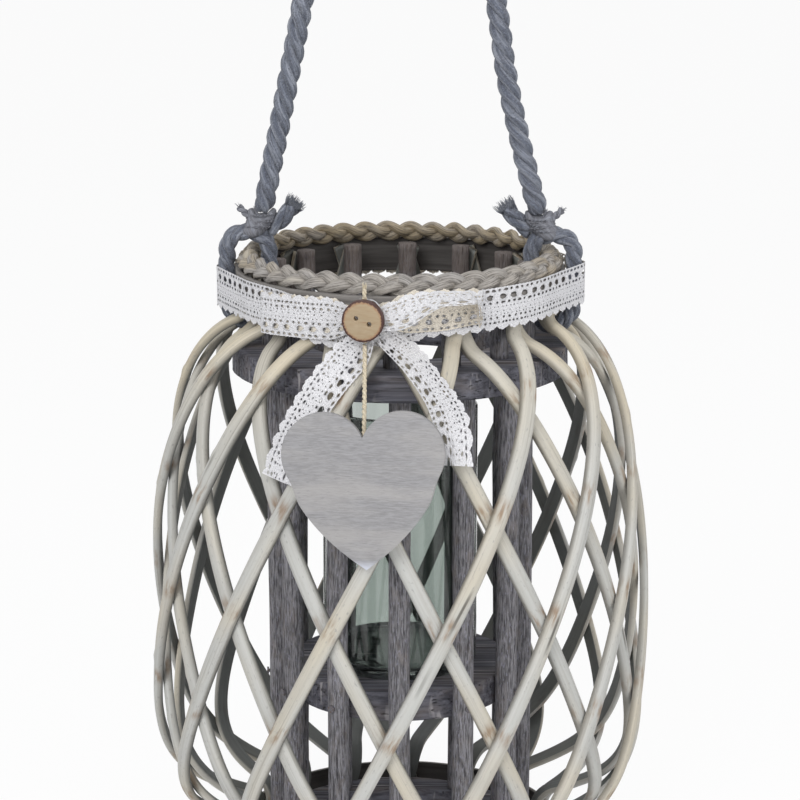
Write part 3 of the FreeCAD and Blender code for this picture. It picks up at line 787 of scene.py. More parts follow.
def button_finish(name):
    look = Finish(name, colours().button)
    low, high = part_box("wood_button")
    centred = look.wire("VectorMath", {0: look.coords(), 1: (low + high) / 2}, operation="SUBTRACT")
    facing = look.wire("Mapping", {"Vector": centred, "Rotation": (0, 0, math.radians(-BOW_AZIMUTH))})
    x, y, z = look.split(facing)
    flat = look.join(x, z)
    grain = look.grain(flat, 90.0, 420.0)
    ragged = look.cloud(flat, 700.0) * 0.0024 + look.length(flat)
    look.coat((148, 122, 90), grain["Streak"].span(0.3, 0.75, 0.0, 0.55))
    look.coat((122, 86, 52), grain["Crack"] * 0.45)
    look.coat((150, 100, 62), ragged.span(0.0116, 0.0130, 0.0, 0.5))
    look.coat(colours().burnt, ragged.span(0.0127, 0.0137))
    return look.done(grain["Streak"].span(0.2, 0.8, 0.45, 0.65), grain["Streak"], 0.0003, 0.5)


def heart_finish(name):
    look = Finish(name, (134, 133, 134))
    x, y, z = look.split(look.coords())
    flat = look.join(x, z, y)
    grain = look.grain(flat, 22.0, 1100.0)
    look.coat(colours().heart, grain["Streak"].span(0.32, 0.68))
    broad = look.cloud(flat, (14.0, 60.0, 20.0))
    look.coat((165, 162, 160), broad.span(0.42, 0.68, 0.0, 0.6))
    look.coat((106, 105, 108), grain["Crack"] * 0.3)
    # Painted highlight over the pale worn tip, lighter towards the point.
    look.coat(colours().heart_tip_highlight, z.span(0.2645, 0.2565, 0.0, 0.85))
    return look.done(grain["Streak"].span(0.2, 0.8, 0.8, 0.6), grain["Streak"], 0.0003, 0.5)


def glass_finish(name):
    # Painted shade: the glass is tinted grey to stand for the shaded back of the lantern seen through it.
    look = Finish(name, colours().glass)
    look.set("Transmission Weight", 1.0)
    look.set("IOR", 1.46)
    smear = look.cloud(look.coords(), (22.0, 22.0, 7.0))
    look.coat((182, 189, 185), smear.span(0.3, 0.7))
    return look.done(smear.span(0.4, 0.75, 0.01, 0.07))


def iron_finish(name):
    look = Finish(name, colours().iron)
    look.set("Metallic", 0.7)
    rust = look.cloud(look.coords(), 900.0)
    look.coat((112, 98, 88), rust.span(0.45, 0.7))
    return look.done(rust.span(0.3, 0.7, 0.4, 0.75), rust, 0.0002, 0.5)


# Pieces

def turned_ring(bm, outer, inner, bottom, top, seed, rough):
    """Round plate with a hole and softened, slightly uneven edges."""
    corners = [(inner, bottom), (outer, bottom), (outer, top), (inner, top)]
    profile = []
    for corner, after in zip(corners, corners[1:] + corners[:1]):
        for step in range(6):
            share = 0.02 + 0.96 * (step / 5)
            profile.append([start + (end - start) * share for start, end in zip(corner, after)])

    def dented(turn, radius, height):
        point = spot(turn, radius, height)
        dent = rough * (wobble(seed, *(point * 0.05)) * 0.5 - 0.5 + 0.3 * wobble(seed + 1, *(point * 0.25)))
        outward = -1 if radius < (outer + inner) / 2 else 1
        lift = 0.3 * dent if height > (top + bottom) / 2 else 0.0
        return spot(turn, radius + outward * dent, height + lift)

    girth = 2 * (outer - inner + top - bottom)
    lathe(bm, profile + profile[:1], 144, (math.pi * (outer + inner), girth), dented)


class LANTERN_OT_boards(bpy.types.Operator):
    """Base ring, shelf and top ring of sawn board, and the two bent hoops"""
    bl_idname = "lantern.boards"
    bl_label = "Boards and hoops"

    def execute(self, context):
        for seed, node in enumerate(HOLES, 1):
            outer, bottom, top = round_size(node)
            hoop = "hoop" in node
            bm = bmesh.new()
            turned_ring(bm, outer, HOLES[node], bottom, top, seed, 0.25 if hoop else 0.9)
            finish = finish_once("bent wood", hoop_finish) if hoop else finish_once("sawn board", board_finish)
            add_piece(node + "_wood", closed(bm), finish, nodes=[node])
        outer, bottom, top = round_size("shelf_disc")
        profile = [(outer * step / 8, top) for step in range(8)] + [(outer - 0.4, top)]
        profile += [(outer, top - 0.6 - (top - bottom - 1.2) * step / 6) for step in range(7)]
        profile += [(outer - 0.4, bottom)] + [(outer * (7 - step) / 8, bottom) for step in range(8)]

        def dented(turn, radius, height):
            point = spot(turn, radius, height)
            dent = wobble(5, *(point * 0.06)) * 0.5 - 0.5 + 0.4 * wobble(6, *(point * 0.3))
            inset = 0.8 * dent * smooth(radius / outer, 0.5, 1.0)
            lift = (0.35 * dent if height >= top else 0.0) * smooth(radius, 0.0, 9.0)
            return spot(turn, max(radius + inset, 0.0), height + lift)

        bm = bmesh.new()
        lathe(bm, profile, 120, (2 * math.pi * outer, 2 * outer + top - bottom), dented)
        add_piece("shelf_wood", closed(bm), finish_once("sawn board", board_finish), nodes=["shelf_disc"])
        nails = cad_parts["nails"].data.materials
        nails.clear()
        nails.append(finish_once("nail iron", iron_finish))
        return {"FINISHED"}


def bark_stick(bm, azimuth, circle, radius, bottom, top, seed):
    """Round stick with bark ridges, a slight bend and a few knots."""
    dice = random.Random(seed)
    knots = [(dice.uniform(bottom, top), dice.uniform(0, 6.28)) for count in range(3)]
    foot = spot(azimuth, circle, 0)
    steps = max(int((top - bottom) / 4), 6)

    def place(u, v):
        height = bottom + (top - bottom) * u
        angle = 2 * math.pi * seam(v)
        bend = smooth(u, 0.0, 0.25) * smooth(1 - u, 0.0, 0.25)
        shift = Vector((wobble(seed, height * 0.008), wobble(seed + 50, height * 0.008), 0)) * 1.1 * bend
        across, deep = math.cos(angle), math.sin(angle)
        ridge = 0.05 * wobble(seed, 2.2 * across, 2.2 * deep, height * 0.012)
        ridge += 0.03 * wobble(seed, 5 * across, 5 * deep, height * 0.03)
        swell = 0.95 + 0.04 * wobble(seed + 9, height * 0.012) + ridge
        for knot_height, knot_angle in knots:
            near = ((height - knot_height) / 5) ** 2 + (math.sin((angle - knot_angle) / 2) * 4) ** 2
            swell += 0.07 * math.exp(-near)
        return foot + shift + Vector((across, deep, 0)) * radius * min(swell, 1.04) + UP * height

    wrap(bm, steps, 20, place, (top - bottom, 2 * math.pi * radius), 0.37 * seed)


class LANTERN_OT_sticks(bpy.types.Operator):
    """Uprights round the glass and short sticks inside the neck, with bark"""
    bl_idname = "lantern.sticks"
    bl_label = "Sticks"

    def execute(self, context):
        finish = finish_once("grey bark", stick_finish)
        bottom, top = round_size("upright_01")[1:]
        for number in range(UPRIGHT_COUNT):
            bm = bmesh.new()
            azimuth = number * 360 / UPRIGHT_COUNT
            bark_stick(bm, azimuth, UPRIGHT_CIRCLE, UPRIGHT_RADIUS, bottom, top, 20 + number)
            add_piece("upright_stick_%02d" % (number + 1), closed(bm), finish,
                      nodes=["upright_%02d" % (number + 1)])
        bottom, top = round_size("neck_sticks")[1:]
        bm = bmesh.new()
        for number in range(ROD_COUNT):
            azimuth = HANDLE_AZIMUTH + (number + 0.5) * 360 / ROD_COUNT
            bark_stick(bm, azimuth, NECK_STICK_CIRCLE, NECK_STICK_RADIUS, bottom, top, 40 + number)
        add_piece("neck_stick_ring", closed(bm), finish, nodes=["neck_sticks"])
        return {"FINISHED"}


def willow_rod(bm, azimuth, lean, offset, seed):
    """Split rod along the cage: flat inside, rounded outside, with small knots and an uneven width."""
    dice = random.Random(seed)
    half = sizes().rod_width / MM / 2
    thick = sizes().rod_thickness / MM
    knots = [(dice.uniform(40, 520), dice.uniform(0.4, 2.7), dice.uniform(0.4, 0.9)) for count in range(4)]
    last = len(CAGE) - 1

    def place(u, v):
        distance, point, along, normal = CAGE[round(u * last)]
        turned = azimuth - lean * ROD_LEAN * (distance - CAGE_MIDDLE)
        outward = spot(turned, 1, 0)
        sideways = spot(turned + 90, 1, 0)
        direction = outward * along.x + UP * along.z - sideways * (lean * point.x * math.radians(ROD_LEAN))
        direction.normalize()
        face = outward * normal.x + UP * normal.z
        across = direction.cross(face)
        angle = 2 * math.pi * seam(v)
        wide = half * (0.95 + 0.07 * wobble(seed, distance * 0.014))
        deep = thick * (0.95 + 0.06 * wobble(seed + 3, distance * 0.02))
        sine, cosine = math.sin(angle), math.cos(angle)
        rise = deep * abs(sine) ** 0.5 if sine > 0 else 0.25 * sine
        cosine = math.copysign(abs(cosine) ** 0.85, cosine)
        for knot_distance, knot_angle, size in knots:
            near = ((distance - knot_distance) / 3.2) ** 2 + ((angle - knot_angle) / 0.55) ** 2
            rise += size * math.exp(-near)
        drift = 0.5 * wobble(seed + 7, distance * 0.01)
        lifted = face * (offset - thick / 2 + rise)
        return outward * point.x + UP * point.z + lifted + across * (wide * cosine + drift)

    wrap(bm, last, 16, place, (CAGE[-1][0], 30.0))


class LANTERN_OT_cage(bpy.types.Operator):
    """Two crossing layers of split willow rods"""
    bl_idname = "lantern.cage"
    bl_label = "Willow cage"

    def execute(self, context):
        finish = finish_once("split willow", willow_finish)
        for layer, lean, offset, first in (("outer", 1, ROD_LAYER, 9.4), ("inner", -1, -ROD_LAYER, 9.6)):
            for number in range(ROD_COUNT):
                bm = bmesh.new()
                seed = 100 + number + (50 if lean < 0 else 0)
                willow_rod(bm, first + number * 360 / ROD_COUNT, lean, offset, seed)
                uv = bm.loops.layers.uv.verify()
                for face in bm.faces:
                    for loop in face.loops:
                        loop[uv].uv.x += CROSSING_PITCH * MM * 8 * (number + (20 if lean < 0 else 0))
                add_piece("willow_%s_%02d" % (layer, number + 1), closed(bm), finish,
                          nodes=["%s_rod_%02d" % (layer, number + 1)])
        return {"FINISHED"}


class LANTERN_OT_braid(bpy.types.Operator):
    """Sea-grass plait that lies on the rod ends"""
    bl_idname = "lantern.braid"
    bl_label = "Rim braid"

    def execute(self, context):
        turns = sizes().braid_turns
        bm = bmesh.new()
        count = 832
        ring_radius, ring_height = 101.65, 422.0
        swing, dip = 3.9, 2.7
        half_width, half_thickness = 3.7, 2.6
        lean = math.radians(42)
        for strand in range(3):
            centres, faces = [], []
            for step in range(count + 1):
                share = (step % count) / count
                phase = 2 * math.pi * (turns * share + strand / 3)
                outward = spot(360 * share, 1, 0)
                depth_way = outward * math.cos(lean) + UP * math.sin(lean)
                width_way = UP * math.cos(lean) - outward * math.sin(lean)
                round_rim = 2 * math.pi * share
                loose = 1 + 0.12 * wobble(60 + strand, 9 * math.cos(round_rim), 9 * math.sin(round_rim))
                side = swing * math.sin(phase) * loose
                deep = -dip * math.sin(2 * phase)
                centres.append(spot(360 * share, ring_radius, ring_height) + width_way * side + depth_way * deep)
                faces.append(depth_way)

            def place(u, v):
                index = round(u * count) % count
                tangent = (centres[(index + 1) % count] - centres[(index - 1) % count]).normalized()
                face = square_to(tangent, faces[index])
                side = tangent.cross(face)
                angle = 2 * math.pi * seam(v)
                fold = 1 + 0.07 * math.sin(7 * angle + 1.7 * strand)
                fold += 0.06 * wobble(70 + strand, *(centres[index] * 0.12))
                return centres[index] + spoke(side * half_width, face * half_thickness, angle) * fold

            wrap(bm, count, 18, place, (760.0, 24.0), 0.9 * strand)
        add_piece("sea_grass_plait", closed(bm), finish_once("sea grass", grass_finish),
                  nodes=["rim_braid"])
        return {"FINISHED"}


class LANTERN_OT_glass(bpy.types.Operator):
    """Glass cylinder with a rounded rim and a thick floor"""
    bl_idname = "lantern.glass"
    bl_label = "Glass cylinder"

    def execute(self, context):
        outer, bottom, top = round_size("glass_cylinder")
        wall, floor, heel, hollow = 3.0, 6.0, 3.0, 4.0
        inner, rim = outer - wall, wall / 2
        quarters = [bottom + (top - bottom) * share for share in (0.25, 0.5, 0.75)]
        profile = [(0, bottom), (outer * 0.5, bottom), (outer - heel, bottom)]
        profile += arc(outer - heel, bottom + heel, heel, (-60, -30, 0))
        profile += [(outer, height) for height in quarters]
        profile += arc(outer - rim, top - rim, rim, range(0, 181, 30))
        profile += [(inner, height) for height in reversed(quarters)]
        profile += arc(inner - hollow, bottom + floor + hollow, hollow, (0, -30, -60, -90))
        profile += [(inner * 0.5, bottom + floor), (0, bottom + floor)]
        bm = bmesh.new()
        lathe(bm, profile, 96, (330.0, 500.0))
        add_piece("hurricane_glass", closed(bm), finish_once("clear glass", glass_finish), "glass",
                  ["glass_cylinder"])
        return {"FINISHED"}


def handle_plane(side):
    """Points in the plane of the handle, on one side of the axis."""
    return lambda across, height: spot(HANDLE_AZIMUTH, side * across, height)


class LANTERN_OT_rope(bpy.types.Operator):
    """Twisted rope handle, its loops round the rim, the lashings and the frayed ends"""
    bl_idname = "lantern.rope"
    bl_label = "Rope"

    def execute(self, context):
        finish = finish_once("slate rope", rope_finish)
        lay = sizes().rope_lay / MM
        controls = [spot(HANDLE_AZIMUTH, across, height) for across, height in HANDLE_ROUTE]
        points = spline_points(controls, 40)
        total = marks_along(points)[-1]
        tips = []
        for end, beyond in ((points[0], points[1]), (points[-1], points[-2])):
            way = (end - beyond).normalized()
            tips.append([end + way * reach for reach in FOOT_STEPS])
        line = tips[0][::-1] + points + tips[1]
        foot = FOOT_STEPS[-1]
        full = total + 2 * foot

        def taper(passed):
            short = max(0.0, (foot - min(passed, full - passed)) / (foot + 0.3))
            return max(0.15, math.sqrt(max(0.0, 1 - short ** 2)))

        bm = bmesh.new()
        facing = spot(HANDLE_AZIMUTH + 90, 1, 0)
        twisted(bm, line, facing, HANDLE_RADIUS, lay, taper=taper, around=16, plump=1.04, seed=81)
        rows = carried_frames(line, facing)
        last = len(line) - 1

        def core(u, v):
            passed, normal, side = rows[round(u * last)]
            return line[round(u * last)] + spoke(normal, side, 2 * math.pi * seam(v)) * (4.6 * taper(passed))

        wrap(bm, last, 8, core, (full, 29.0), 0.5)
        handle = add_piece("twisted_handle", closed(bm), finish, "handle", ["rope_handle"])

        loops, ties, frays = bmesh.new(), bmesh.new(), bmesh.new()
        for side in (-1, 1):
            at = handle_plane(side)
            loop = spline_points([at(*place) for place in LOOP_ROUTE], 16, True)
            girth = marks_along(loop)[-1]
            turns = round(3 * girth / 30) / 3
            twisted(loops, loop, at(1, 0), LOOP_RADIUS, girth / turns, around=14, seed=83 + side)
            self.lash(ties, side)
            self.fray(frays, side)
        add_piece("rim_rope_loops", closed(loops), finish, nodes=["rope_loops"])
        add_piece("lashings", closed(ties), finish_once("lashing twine", twine_finish))
        add_piece("frayed_ends", closed(frays), finish, nodes=["rope_ties"])
        return {"FINISHED"}

    def lash(self, bm, side):
        """Felted lump of windings at the handle's foot, with loose ends."""
        at = handle_plane(side)
        profile = [(5.5, 434.5), (8.2, 437.0), (9.4, 440.0), (9.8, 443.5), (9.9, 446.0), (9.9, 447.2), (9.6, 448.0),
                   (9.0, 448.4), (8.3, 448.6), (7.6, 448.8), (6.0, 449.3), (3.0, 450.2), (0.0, 450.8)]
        lifts = [0, 0, 0, 0, 0.2, 0.6, 0.9, 1.0, 1.0, 0.85, 0.2, 0, 0]
        count = len(profile) - 1
        outward = at(1, 0)

        def place(u, v):
            index = round(v * count)
            radius, height = profile[index]
            around = spot(360 * seam(u), 1, 0)
            ear = 5.0 * lifts[index] * smooth(abs(around.dot(outward)), 0.30, 0.95)
            base = at(LASH_CIRCLE, height) + around * radius
            rough = 0.9 * wobble(90 + side, *(base * 0.22)) - 0.5
            drop = smooth(LASH_TOP - height, 0.0, 12.0)
            return base + around * rough * smooth(radius, 0, 4) + outward * 6.0 * drop + UP * ear

        wrap(bm, 72, count, place, (60.0, 30.0))
        turns = []
        for step in range(WINDINGS * WINDING_STEPS + 1):
            turn = step / WINDING_STEPS
            angle = 2 * math.pi * turn
            reach = 9.1 + 0.5 * wobble(90 + side, turn * 3.1)
            drop = smooth(4.2 - turn, 0.0, 6.0)
            centre = at(LASH_CIRCLE + 5.0 * drop, 439.8 + 1.9 * turn + 1.3 * math.sin(angle * 0.5 + side))
            turns.append(centre + Vector((math.cos(angle) * reach, math.sin(angle) * reach, 0)))
        twisted(bm, turns, UP, sizes().twine / MM / 2, 7.0, strands=2, around=8, seed=91)
        dice = random.Random(7 + side)
        for way, lift, reach, thick in ((1, 0.75, 11.0, 2.6), (0.35, 1.0, 8.0, 1.4)):
            start = at(LASH_CIRCLE + 7.0 * way, LASH_ENDS)
            tip = at(LASH_CIRCLE + 7.0 * way + reach * way * 0.75, LASH_ENDS + reach * lift)
            middle = (start + tip) / 2 + Vector((0, -2.0, 1.0))
            ends = spline_points([start, middle, tip], 8)
            twisted(bm, ends, Vector((0, 1, 0.1)), thick, 9.0, strands=2, around=9, seed=97)
            for hair in range(22):
                spread = Vector((dice.uniform(-1, 1), dice.uniform(-1, 1), dice.uniform(-0.3, 1))) * thick
                root = tip - (tip - middle).normalized() * 2.0 + spread * 0.4
                fibre(bm, [root, tip + spread * 0.7, tip + spread * 1.3], 0.26)

    def fray(self, bm, side):
        """Short cut end of rope with its strands brushed open."""
        at = handle_plane(side)
        back = Vector((0, 1, 0))
        lean = math.radians(34)
        way = at(-math.sin(lean), math.cos(lean))
        line = spline_points([at(*place) for place in FRAY_ROUTE], 10)
        twisted(bm, line, back, LOOP_RADIUS, 40.0, around=14, seed=99)
        dice = random.Random(31 + side)
        cross = way.cross(back).normalized()
        for hair in range(150):
            angle, reach = dice.uniform(0, 6.283), 5.2 * math.sqrt(dice.random())
            out = spoke(cross, back, angle)
            start = line[-3] + out * reach
            flare = dice.uniform(0.1, 0.75)
            tip = start + way * dice.uniform(4.0, 8.6) + out * flare * 4.4
            middle = (start + tip) / 2 + out * dice.uniform(-0.5, 0.8)
            fibre(bm, [start, middle, tip], dice.uniform(0.28, 0.5))


def belt_line(reach, rope_reach):
    """Plan of a ribbon drawn tight round the neck and over both rope loops, as points and distances."""
    spread = math.degrees(math.acos((reach - rope_reach) / LOOP_CIRCLE))
    corners = []
    for side in (0, 180):
        azimuth = HANDLE_AZIMUTH + side
        for step in range(61):
            turn = azimuth - 180 + spread + (180 - 2 * spread) * step / 60
            corners.append(spot(turn, reach, 0))
        for step in range(1, 17):
            turn = azimuth - spread + 2 * spread * step / 16
            corners.append(spot(azimuth, LOOP_CIRCLE, 0) + spot(turn, rope_reach, 0))
    corners.append(corners[0].copy())
    return corners, marks_along(corners)


class LANTERN_OT_lace(bpy.types.Operator):
    """Lace ribbon round the neck"""
    bl_idname = "lantern.lace"
    bl_label = "Lace band"

    def execute(self, context):
        corners, marks = belt_line(BAND_REACH, BAND_ROPE_REACH)
        total = marks[-1]
        width = sizes().lace_width / MM
        middle = round_size("neck_hoop")[1] + BAND_LIFT

        def place(u, v):
            distance = total * seam(u)
            index = next(i for i in range(len(marks) - 1) if marks[i + 1] >= distance)
            share = (distance - marks[index]) / (marks[index + 1] - marks[index])
            point = corners[index].lerp(corners[index + 1], share)
            out = point.normalized()
            ripple = 0.35 * wobble(110, *(point * 0.05)) + 0.2 * math.sin(distance * 0.11) * (v - 0.5)
            height = middle + point.x * math.tan(math.radians(1.2)) + (v - 0.5) * width
            height += 0.5 * wobble(111, *(point * 0.03))
            past = BAND_REACH * (math.atan2(point.x, -point.y) - math.radians(BOW_AZIMUTH))
            height -= BAND_DIP * smooth(past, -78, -10) * (1 - smooth(past, 5, 45))
            return point + out * ripple + UP * height

        bm = bmesh.new()
        wrap(bm, 420, 10, place, (total, width))
        bmesh.ops.remove_doubles(bm, verts=bm.verts[:], dist=2e-6)
        bmesh.ops.recalc_face_normals(bm, faces=bm.faces[:])
        finish = finish_once("cotton lace", lace_finish)
        band = add_piece("lace_ribbon", face_front(bm), finish, nodes=["lace_band"])
        return {"FINISHED"}


def band_spot(along, depth, height):
    """Point in front of the lace band, by its distance along it from the button and its depth off it."""
    return spot(BOW_AZIMUTH + math.degrees(along / BOW_REACH), BOW_REACH + depth, height)


class LANTERN_OT_bow(bpy.types.Operator):
    """Lace bow: an open loop, a pressed loop, the knot and two tails"""
    bl_idname = "lantern.bow"
    bl_label = "Lace bow"

    def execute(self, context):
        finish = finish_once("cotton lace", lace_finish)
        width = sizes().lace_width / MM
        middle = round_size("neck_hoop")[1] + BOW_LIFT
        bm = bmesh.new()
        wrap(bm, 96, 20, lambda u, v: self.open_loop(u, v, width, middle), (OPEN_CUT, width), 0.0, True)
        face_front(bm)
        pressed = bmesh.new()
        wrap(pressed, 80, 10, lambda u, v: self.pressed_loop(u, v, width, middle), (PRESSED_CUT, width), 0.3, True)
        mesh = finished_mesh("pressed loop", face_front(pressed))
        bm.from_mesh(mesh)
        bpy.data.meshes.remove(mesh)
        area = sum(face.calc_area() for face in bm.faces)
        knot = bmesh.new()

        def puff(u, v):
            turn = 2 * math.pi * seam(u)
            rise = math.pi * (v - 0.5)
            pleat = 1 + 0.07 * math.sin(9 * turn)
            along = 10.0 * math.cos(rise) * math.cos(turn) * pleat
            height = middle + 11.5 * math.sin(rise)
            return band_spot(along, 4.3 + 3.6 * math.cos(rise) * math.sin(turn) * pleat, height)

        wrap(knot, 36, 16, puff, (60.0, width), 0.6)
        ribbon = add_piece("lace_bow", bm, finish, nodes=["bow_loop"])
        centre = add_piece("bow_knot", closed(knot), finish)
        for hand, route in TAIL_ROUTES.items():
            self.tail(hand, route, width, finish)
        return {"FINISHED"}

    def open_loop(self, u, v, width, middle):
        """Ribbon that goes out along the band, turns round and comes back in front with its lower half tucked in."""
        reach, start, gap = 69.0, 5.0, 3.6
        if u < 0.46:
            along, depth, front = start + (reach - start) * u / 0.46, 0.8, 0.0
        elif u < 0.54:
            turn = math.pi * (u - 0.46) / 0.08
            along, depth, front = reach + gap * math.sin(turn), 0.8 + gap * (1 - math.cos(turn)), 0.0
        else:
            along, depth, front = reach - (reach - start) * (u - 0.54) / 0.46, 0.8 + 2 * gap, 1.0
        gather = 0.55 + 0.45 * smooth(along, start, 30)
        top = middle + width / 2 * gather + 3.0 * smooth(along, start, 40)
        narrow = 1 - 0.14 * smooth(along, reach - 30, reach + 4)
        top -= width * 0.25 * (1 - narrow)
        down = (1 - v) * width * gather * narrow
        if front:
            share = (along - start) / (reach - start)
            lift = math.radians(24 + 55 * smooth(share, 0.05, 0.62) - 79 * smooth(share, 0.86, 1.0))
            depth += down * math.sin(lift) * 0.85
            down *= math.cos(lift)
        depth += 0.5 * math.sin(along * 0.16) * smooth(along, start, 20)
        return band_spot(along, depth, top - down + 0.6 * wobble(120, along * 0.05))

    def pressed_loop(self, u, v, width, middle):
        """Ribbon that goes out to the left, folds and comes back flat."""
        reach, start = 82.0, 5.0
        share = 1 - abs(2 * u - 1)
        along = start + (reach - start) * min(share * 1.02, 1.0)
        depth = 1.2 + (1.0 if u > 0.5 else -0.4) * smooth(1 - share, 0.0, 0.05)
        gather = 0.55 + 0.45 * smooth(along, start, 26)
        ripple = 0.4 * wobble(123, along * 0.07, v * 0.8)
        height = middle - 2.5 - 3.5 * along / reach + (v - 0.5) * width * gather
        return band_spot(-along, depth + ripple, height + 0.5 * wobble(124, along * 0.05))

    def tail(self, hand, route, width, finish):
        """Ribbon end that hangs from the knot over the shoulder of the cage."""
        controls = []
        for azimuth, lift, height in route:
            near_knot = lift is None
            controls.append(spot(azimuth, KNOT_REACH, height) if near_knot
                            else cage_spot(height, azimuth, CAGE_FACE + lift))
        points = spline_points(controls, 10)
        last = len(points) - 1
        total = marks_along(points)[-1]
        right = hand == "right"

        def place(u, v):
            index = round(u * last)
            point = points[index]
            tangent = heading(points, index)
            out = square_to(tangent, Vector((point.x, point.y, 0)).normalized() + UP * 0.75)
            side = tangent.cross(out)
            gather = 0.5 + (0.18 if right else 0.5) * smooth(u, 0.02, 0.3)
            if right:
                gather += 0.2 * smooth(u, 0.45, 0.85)
            sideways = (v - 0.5) * width * gather
            if right and sideways > 0:
                sideways *= 1 - 0.5 * smooth(u, 0.86, 1.0)
            curl = 1.6 * ((2 * v - 1) ** 2) * smooth(u, 0.1, 0.5) + 0.5 * math.sin(9 * u + 3 * v)
            pleat = 1.4 * math.sin(v * 15) * (1 - smooth(u, 0.0, 0.3))
            return point + side * sideways + out * (pleat + 0.8 - 0.5 * curl)

        bm = bmesh.new()
        wrap(bm, last, 16, place, (total, width), 0.5, not right)
        area = sum(face.calc_area() for face in bm.faces)
        piece = add_piece("lace_tail_" + hand, face_front(bm), finish, nodes=["bow_tail_" + hand])


class LANTERN_OT_button(bpy.types.Operator):
    """Wooden slice button with a burnt rim"""
    bl_idname = "lantern.button"
    bl_label = "Wooden button"

    def execute(self, context):
        bm = node_mesh("wood_button")
        low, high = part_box("wood_button")
        turn = Matrix.Rotation(math.radians(BUTTON_TURN), 3, spot(BOW_AZIMUTH, -1, 0))
        bmesh.ops.rotate(bm, cent=(low + high) / 2, matrix=turn, verts=bm.verts[:])
        soften_edges(bm, 0.7)
        add_piece("slice_button", bm, finish_once("button wood", button_finish), nodes=["wood_button"])
        return {"FINISHED"}


class LANTERN_OT_heart(bpy.types.Operator):
    """Wooden heart and the string that carries it"""
    bl_idname = "lantern.heart"
    bl_label = "Heart and string"

    def execute(self, context):
        finish = finish_once("cotton string", string_finish)
        bm = node_mesh("heart_tag")
        front = min(bm.faces, key=lambda face: face.normal.y * face.calc_area()).normal.copy()
        self.fuller(bm, HEART_HANG * MM, front)
        soften_edges(bm, 0.6)
        turn = Matrix.Rotation(math.radians(HEART_TURN), 3, front)
        bmesh.ops.rotate(bm, cent=HEART_HANG * MM, matrix=turn, verts=bm.verts[:])
        add_piece("grey_heart", bm, finish_once("heart wood", heart_finish), "heart", ["heart_tag"])
        middle = (STRING_START + HEART_HANG) / 2 + Vector((0.3, -0.5, -0.6))
        points = spline_points([STRING_START, middle, HEART_HANG], 24)
        total = marks_along(points)[-1]
        bm = bmesh.new()
        twisted(bm, points, Vector((1, 0, 0)), STRING_RADIUS, 7.0, strands=2, around=10, plump=1.2, seed=131)
        hanging = add_piece("hanging_string", closed(bm), finish, "pendant", ["heart_string"])
        bottom, top = round_size("string_knot")[1:]
        line = [spot(BOW_AZIMUTH, STRING_KNOT_REACH, bottom + (top - bottom) * step / 20) for step in range(21)]
        bm = bmesh.new()
        twisted(bm, line, Vector((1, 0, 0)), STRING_RADIUS, 8.0, strands=2, around=10, plump=1.2, seed=132)
        dice = random.Random(5)
        for hair in range(26):
            tip = line[-1] + Vector((dice.uniform(-1.5, 1.5), dice.uniform(-1.5, 1.5), dice.uniform(1.0, 4.0)))
            root = line[-1] + Vector((dice.uniform(-1, 1), dice.uniform(-1, 1), -1.5))
            fibre(bm, [root, (root + tip) / 2, tip], 0.22)
        add_piece("knot_string", closed(bm), finish, nodes=["string_knot"])
        return {"FINISHED"}

    def fuller(self, bm, hang, front):
        """Rounds out the heart's lower sides."""
        fall = min(bm.verts, key=lambda vert: vert.co.z).co - hang
        fall -= front * fall.dot(front)
        depth = fall.length
        fall.normalize()
        across = fall.cross(front)
        for step in range(1, 16):
            bmesh.ops.bisect_plane(bm, geom=bm.verts[:] + bm.edges[:] + bm.faces[:], dist=1e-7,
                                   plane_co=hang + fall * depth * (0.15 + 0.85 * step / 16), plane_no=fall)
        for vert in bm.verts:
            share = (vert.co - hang).dot(fall) / depth
            swell = 0.53 * (share - 0.2) * smooth(share, 0.2, 0.5)
            vert.co += across * (vert.co - hang).dot(across) * swell


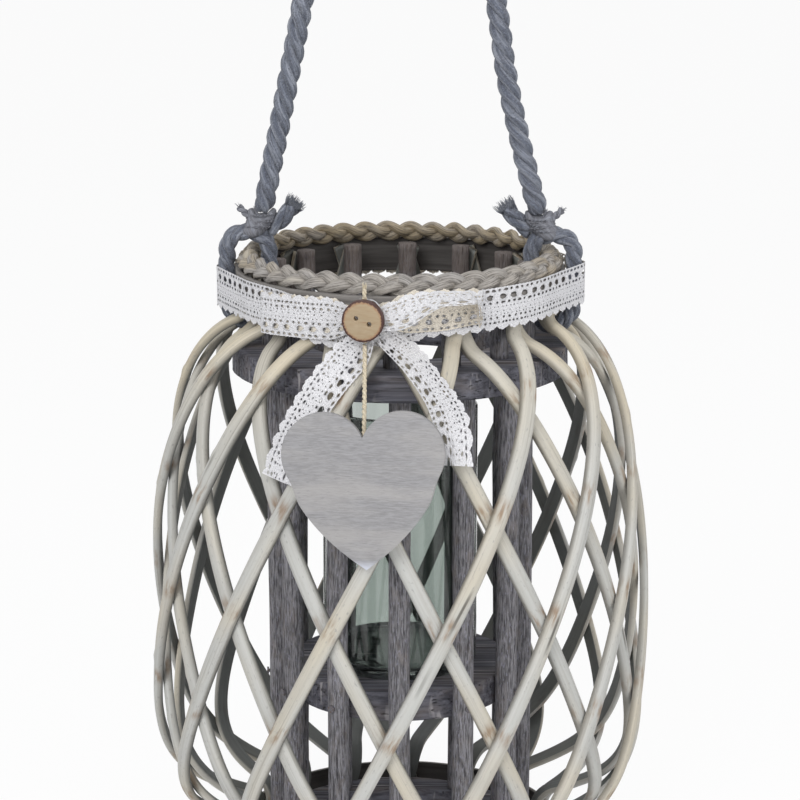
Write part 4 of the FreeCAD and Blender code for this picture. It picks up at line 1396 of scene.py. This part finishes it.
class LANTERN_OT_stage(bpy.types.Operator):
    """Pale floor, soft lamps, white surroundings and the camera"""
    bl_idname = "lantern.stage"
    bl_label = "Stage"

    def execute(self, context):
        scene = context.scene
        bm = bmesh.new()
        bmesh.ops.create_grid(bm, x_segments=1, y_segments=1, size=14.0)
        floor = add_object("floor", finished_mesh("floor", bm))
        look = Finish("pale floor", (0.86, 0.86, 0.86, 1.0))
        floor.data.materials.append(look.done(0.9))
        glow = look.add("Emission", {"Color": (1, 1, 1, 1), "Strength": 1.0})
        self.show(look, self.seen(look) * 0.93, "Principled BSDF", glow, "Material Output")

        world = bpy.data.worlds.new("white room")
        scene.world = world
        world.use_nodes = True
        room = Graph(world.node_tree)
        soft = room.tree.nodes["Background"]
        soft.inputs["Color"].default_value = (0.95, 0.97, 1.0, 1.0)
        soft.inputs["Strength"].default_value = 0.42
        white = room.add("Background", {"Color": (1, 1, 1, 1), "Strength": 1.0})
        self.show(room, self.seen(room), "Background", white, "World Output")

        for name, place, size, power in (("key", (-0.9, -2.2, 1.7), 1.3, 38.0), ("fill", (1.5, -1.7, 1.0), 1.5, 17.0),
                                         ("top", (0.1, 0.2, 2.3), 1.4, 13.0)):
            lamp = bpy.data.lights.new(name, "AREA")
            lamp.size = size
            lamp.energy = power
            holder = add_object(name, lamp)
            holder.location = place
            holder.rotation_euler = (Vector((0, 0, 0.3)) - Vector(place)).to_track_quat("-Z", "Y").to_euler()

        camera = bpy.data.cameras.new("camera")
        camera.lens = 123.4
        camera.sensor_width = 36.0
        camera.clip_end = 60.0
        scene.camera = add_object("camera", camera)
        scene.camera.location = (0.0, -1.8, 0.751)
        scene.camera.rotation_euler = (math.radians(90 - 13.35), 0, 0)
        scene.view_settings.view_transform = "Standard"
        return {"FINISHED"}

    def seen(self, graph):
        """1 for what the camera sees directly, in a reflection or through glass."""
        path = graph.wires(graph.add("LightPath"))
        return path["Is Camera Ray"].most(path["Is Glossy Ray"]).most(path["Is Transmission Ray"])

    def show(self, graph, share, lit, shown, output):
        """Shows one shader to the camera while another lights the scene."""
        nodes = graph.tree.nodes
        mixed = graph.add("MixShader", {0: share, 1: nodes[lit].outputs[0], 2: shown.outputs[0]})
        graph.plug(mixed.outputs[0], nodes[output].inputs["Surface"])


STEPS = ("boards", "sticks", "cage", "braid", "glass", "rope", "lace", "bow", "button", "heart", "stage")


class LANTERN_PT_panel(bpy.types.Panel):
    """Sidebar list of the lantern's pieces"""
    bl_idname = "LANTERN_PT_panel"
    bl_label = "Willow Lantern"
    bl_space_type = "VIEW_3D"
    bl_region_type = "UI"
    bl_category = "Lantern"

    def draw(self, context):
        for step in STEPS:
            self.layout.operator("lantern." + step)
        for group in (context.scene.lantern_sizes, context.scene.lantern_colours):
            for name in group.bl_rna.properties.keys():
                if name not in ("rna_type", "name"):
                    self.layout.prop(group, name)


CLASSES = (LanternSizes, LanternColours, LANTERN_OT_boards, LANTERN_OT_sticks, LANTERN_OT_cage, LANTERN_OT_braid,
           LANTERN_OT_glass, LANTERN_OT_rope, LANTERN_OT_lace, LANTERN_OT_bow, LANTERN_OT_button, LANTERN_OT_heart,
           LANTERN_OT_stage, LANTERN_PT_panel)


def register():
    for kind in CLASSES:
        bpy.utils.register_class(kind)
    bpy.types.Scene.lantern_sizes = PointerProperty(type=LanternSizes)
    bpy.types.Scene.lantern_colours = PointerProperty(type=LanternColours)


def unregister():
    del bpy.types.Scene.lantern_colours
    del bpy.types.Scene.lantern_sizes
    for kind in reversed(CLASSES):
        bpy.utils.unregister_class(kind)


def main():
    register()
    for step in STEPS:
        getattr(bpy.ops.lantern, step)()


if __name__ == "__main__":
    main()
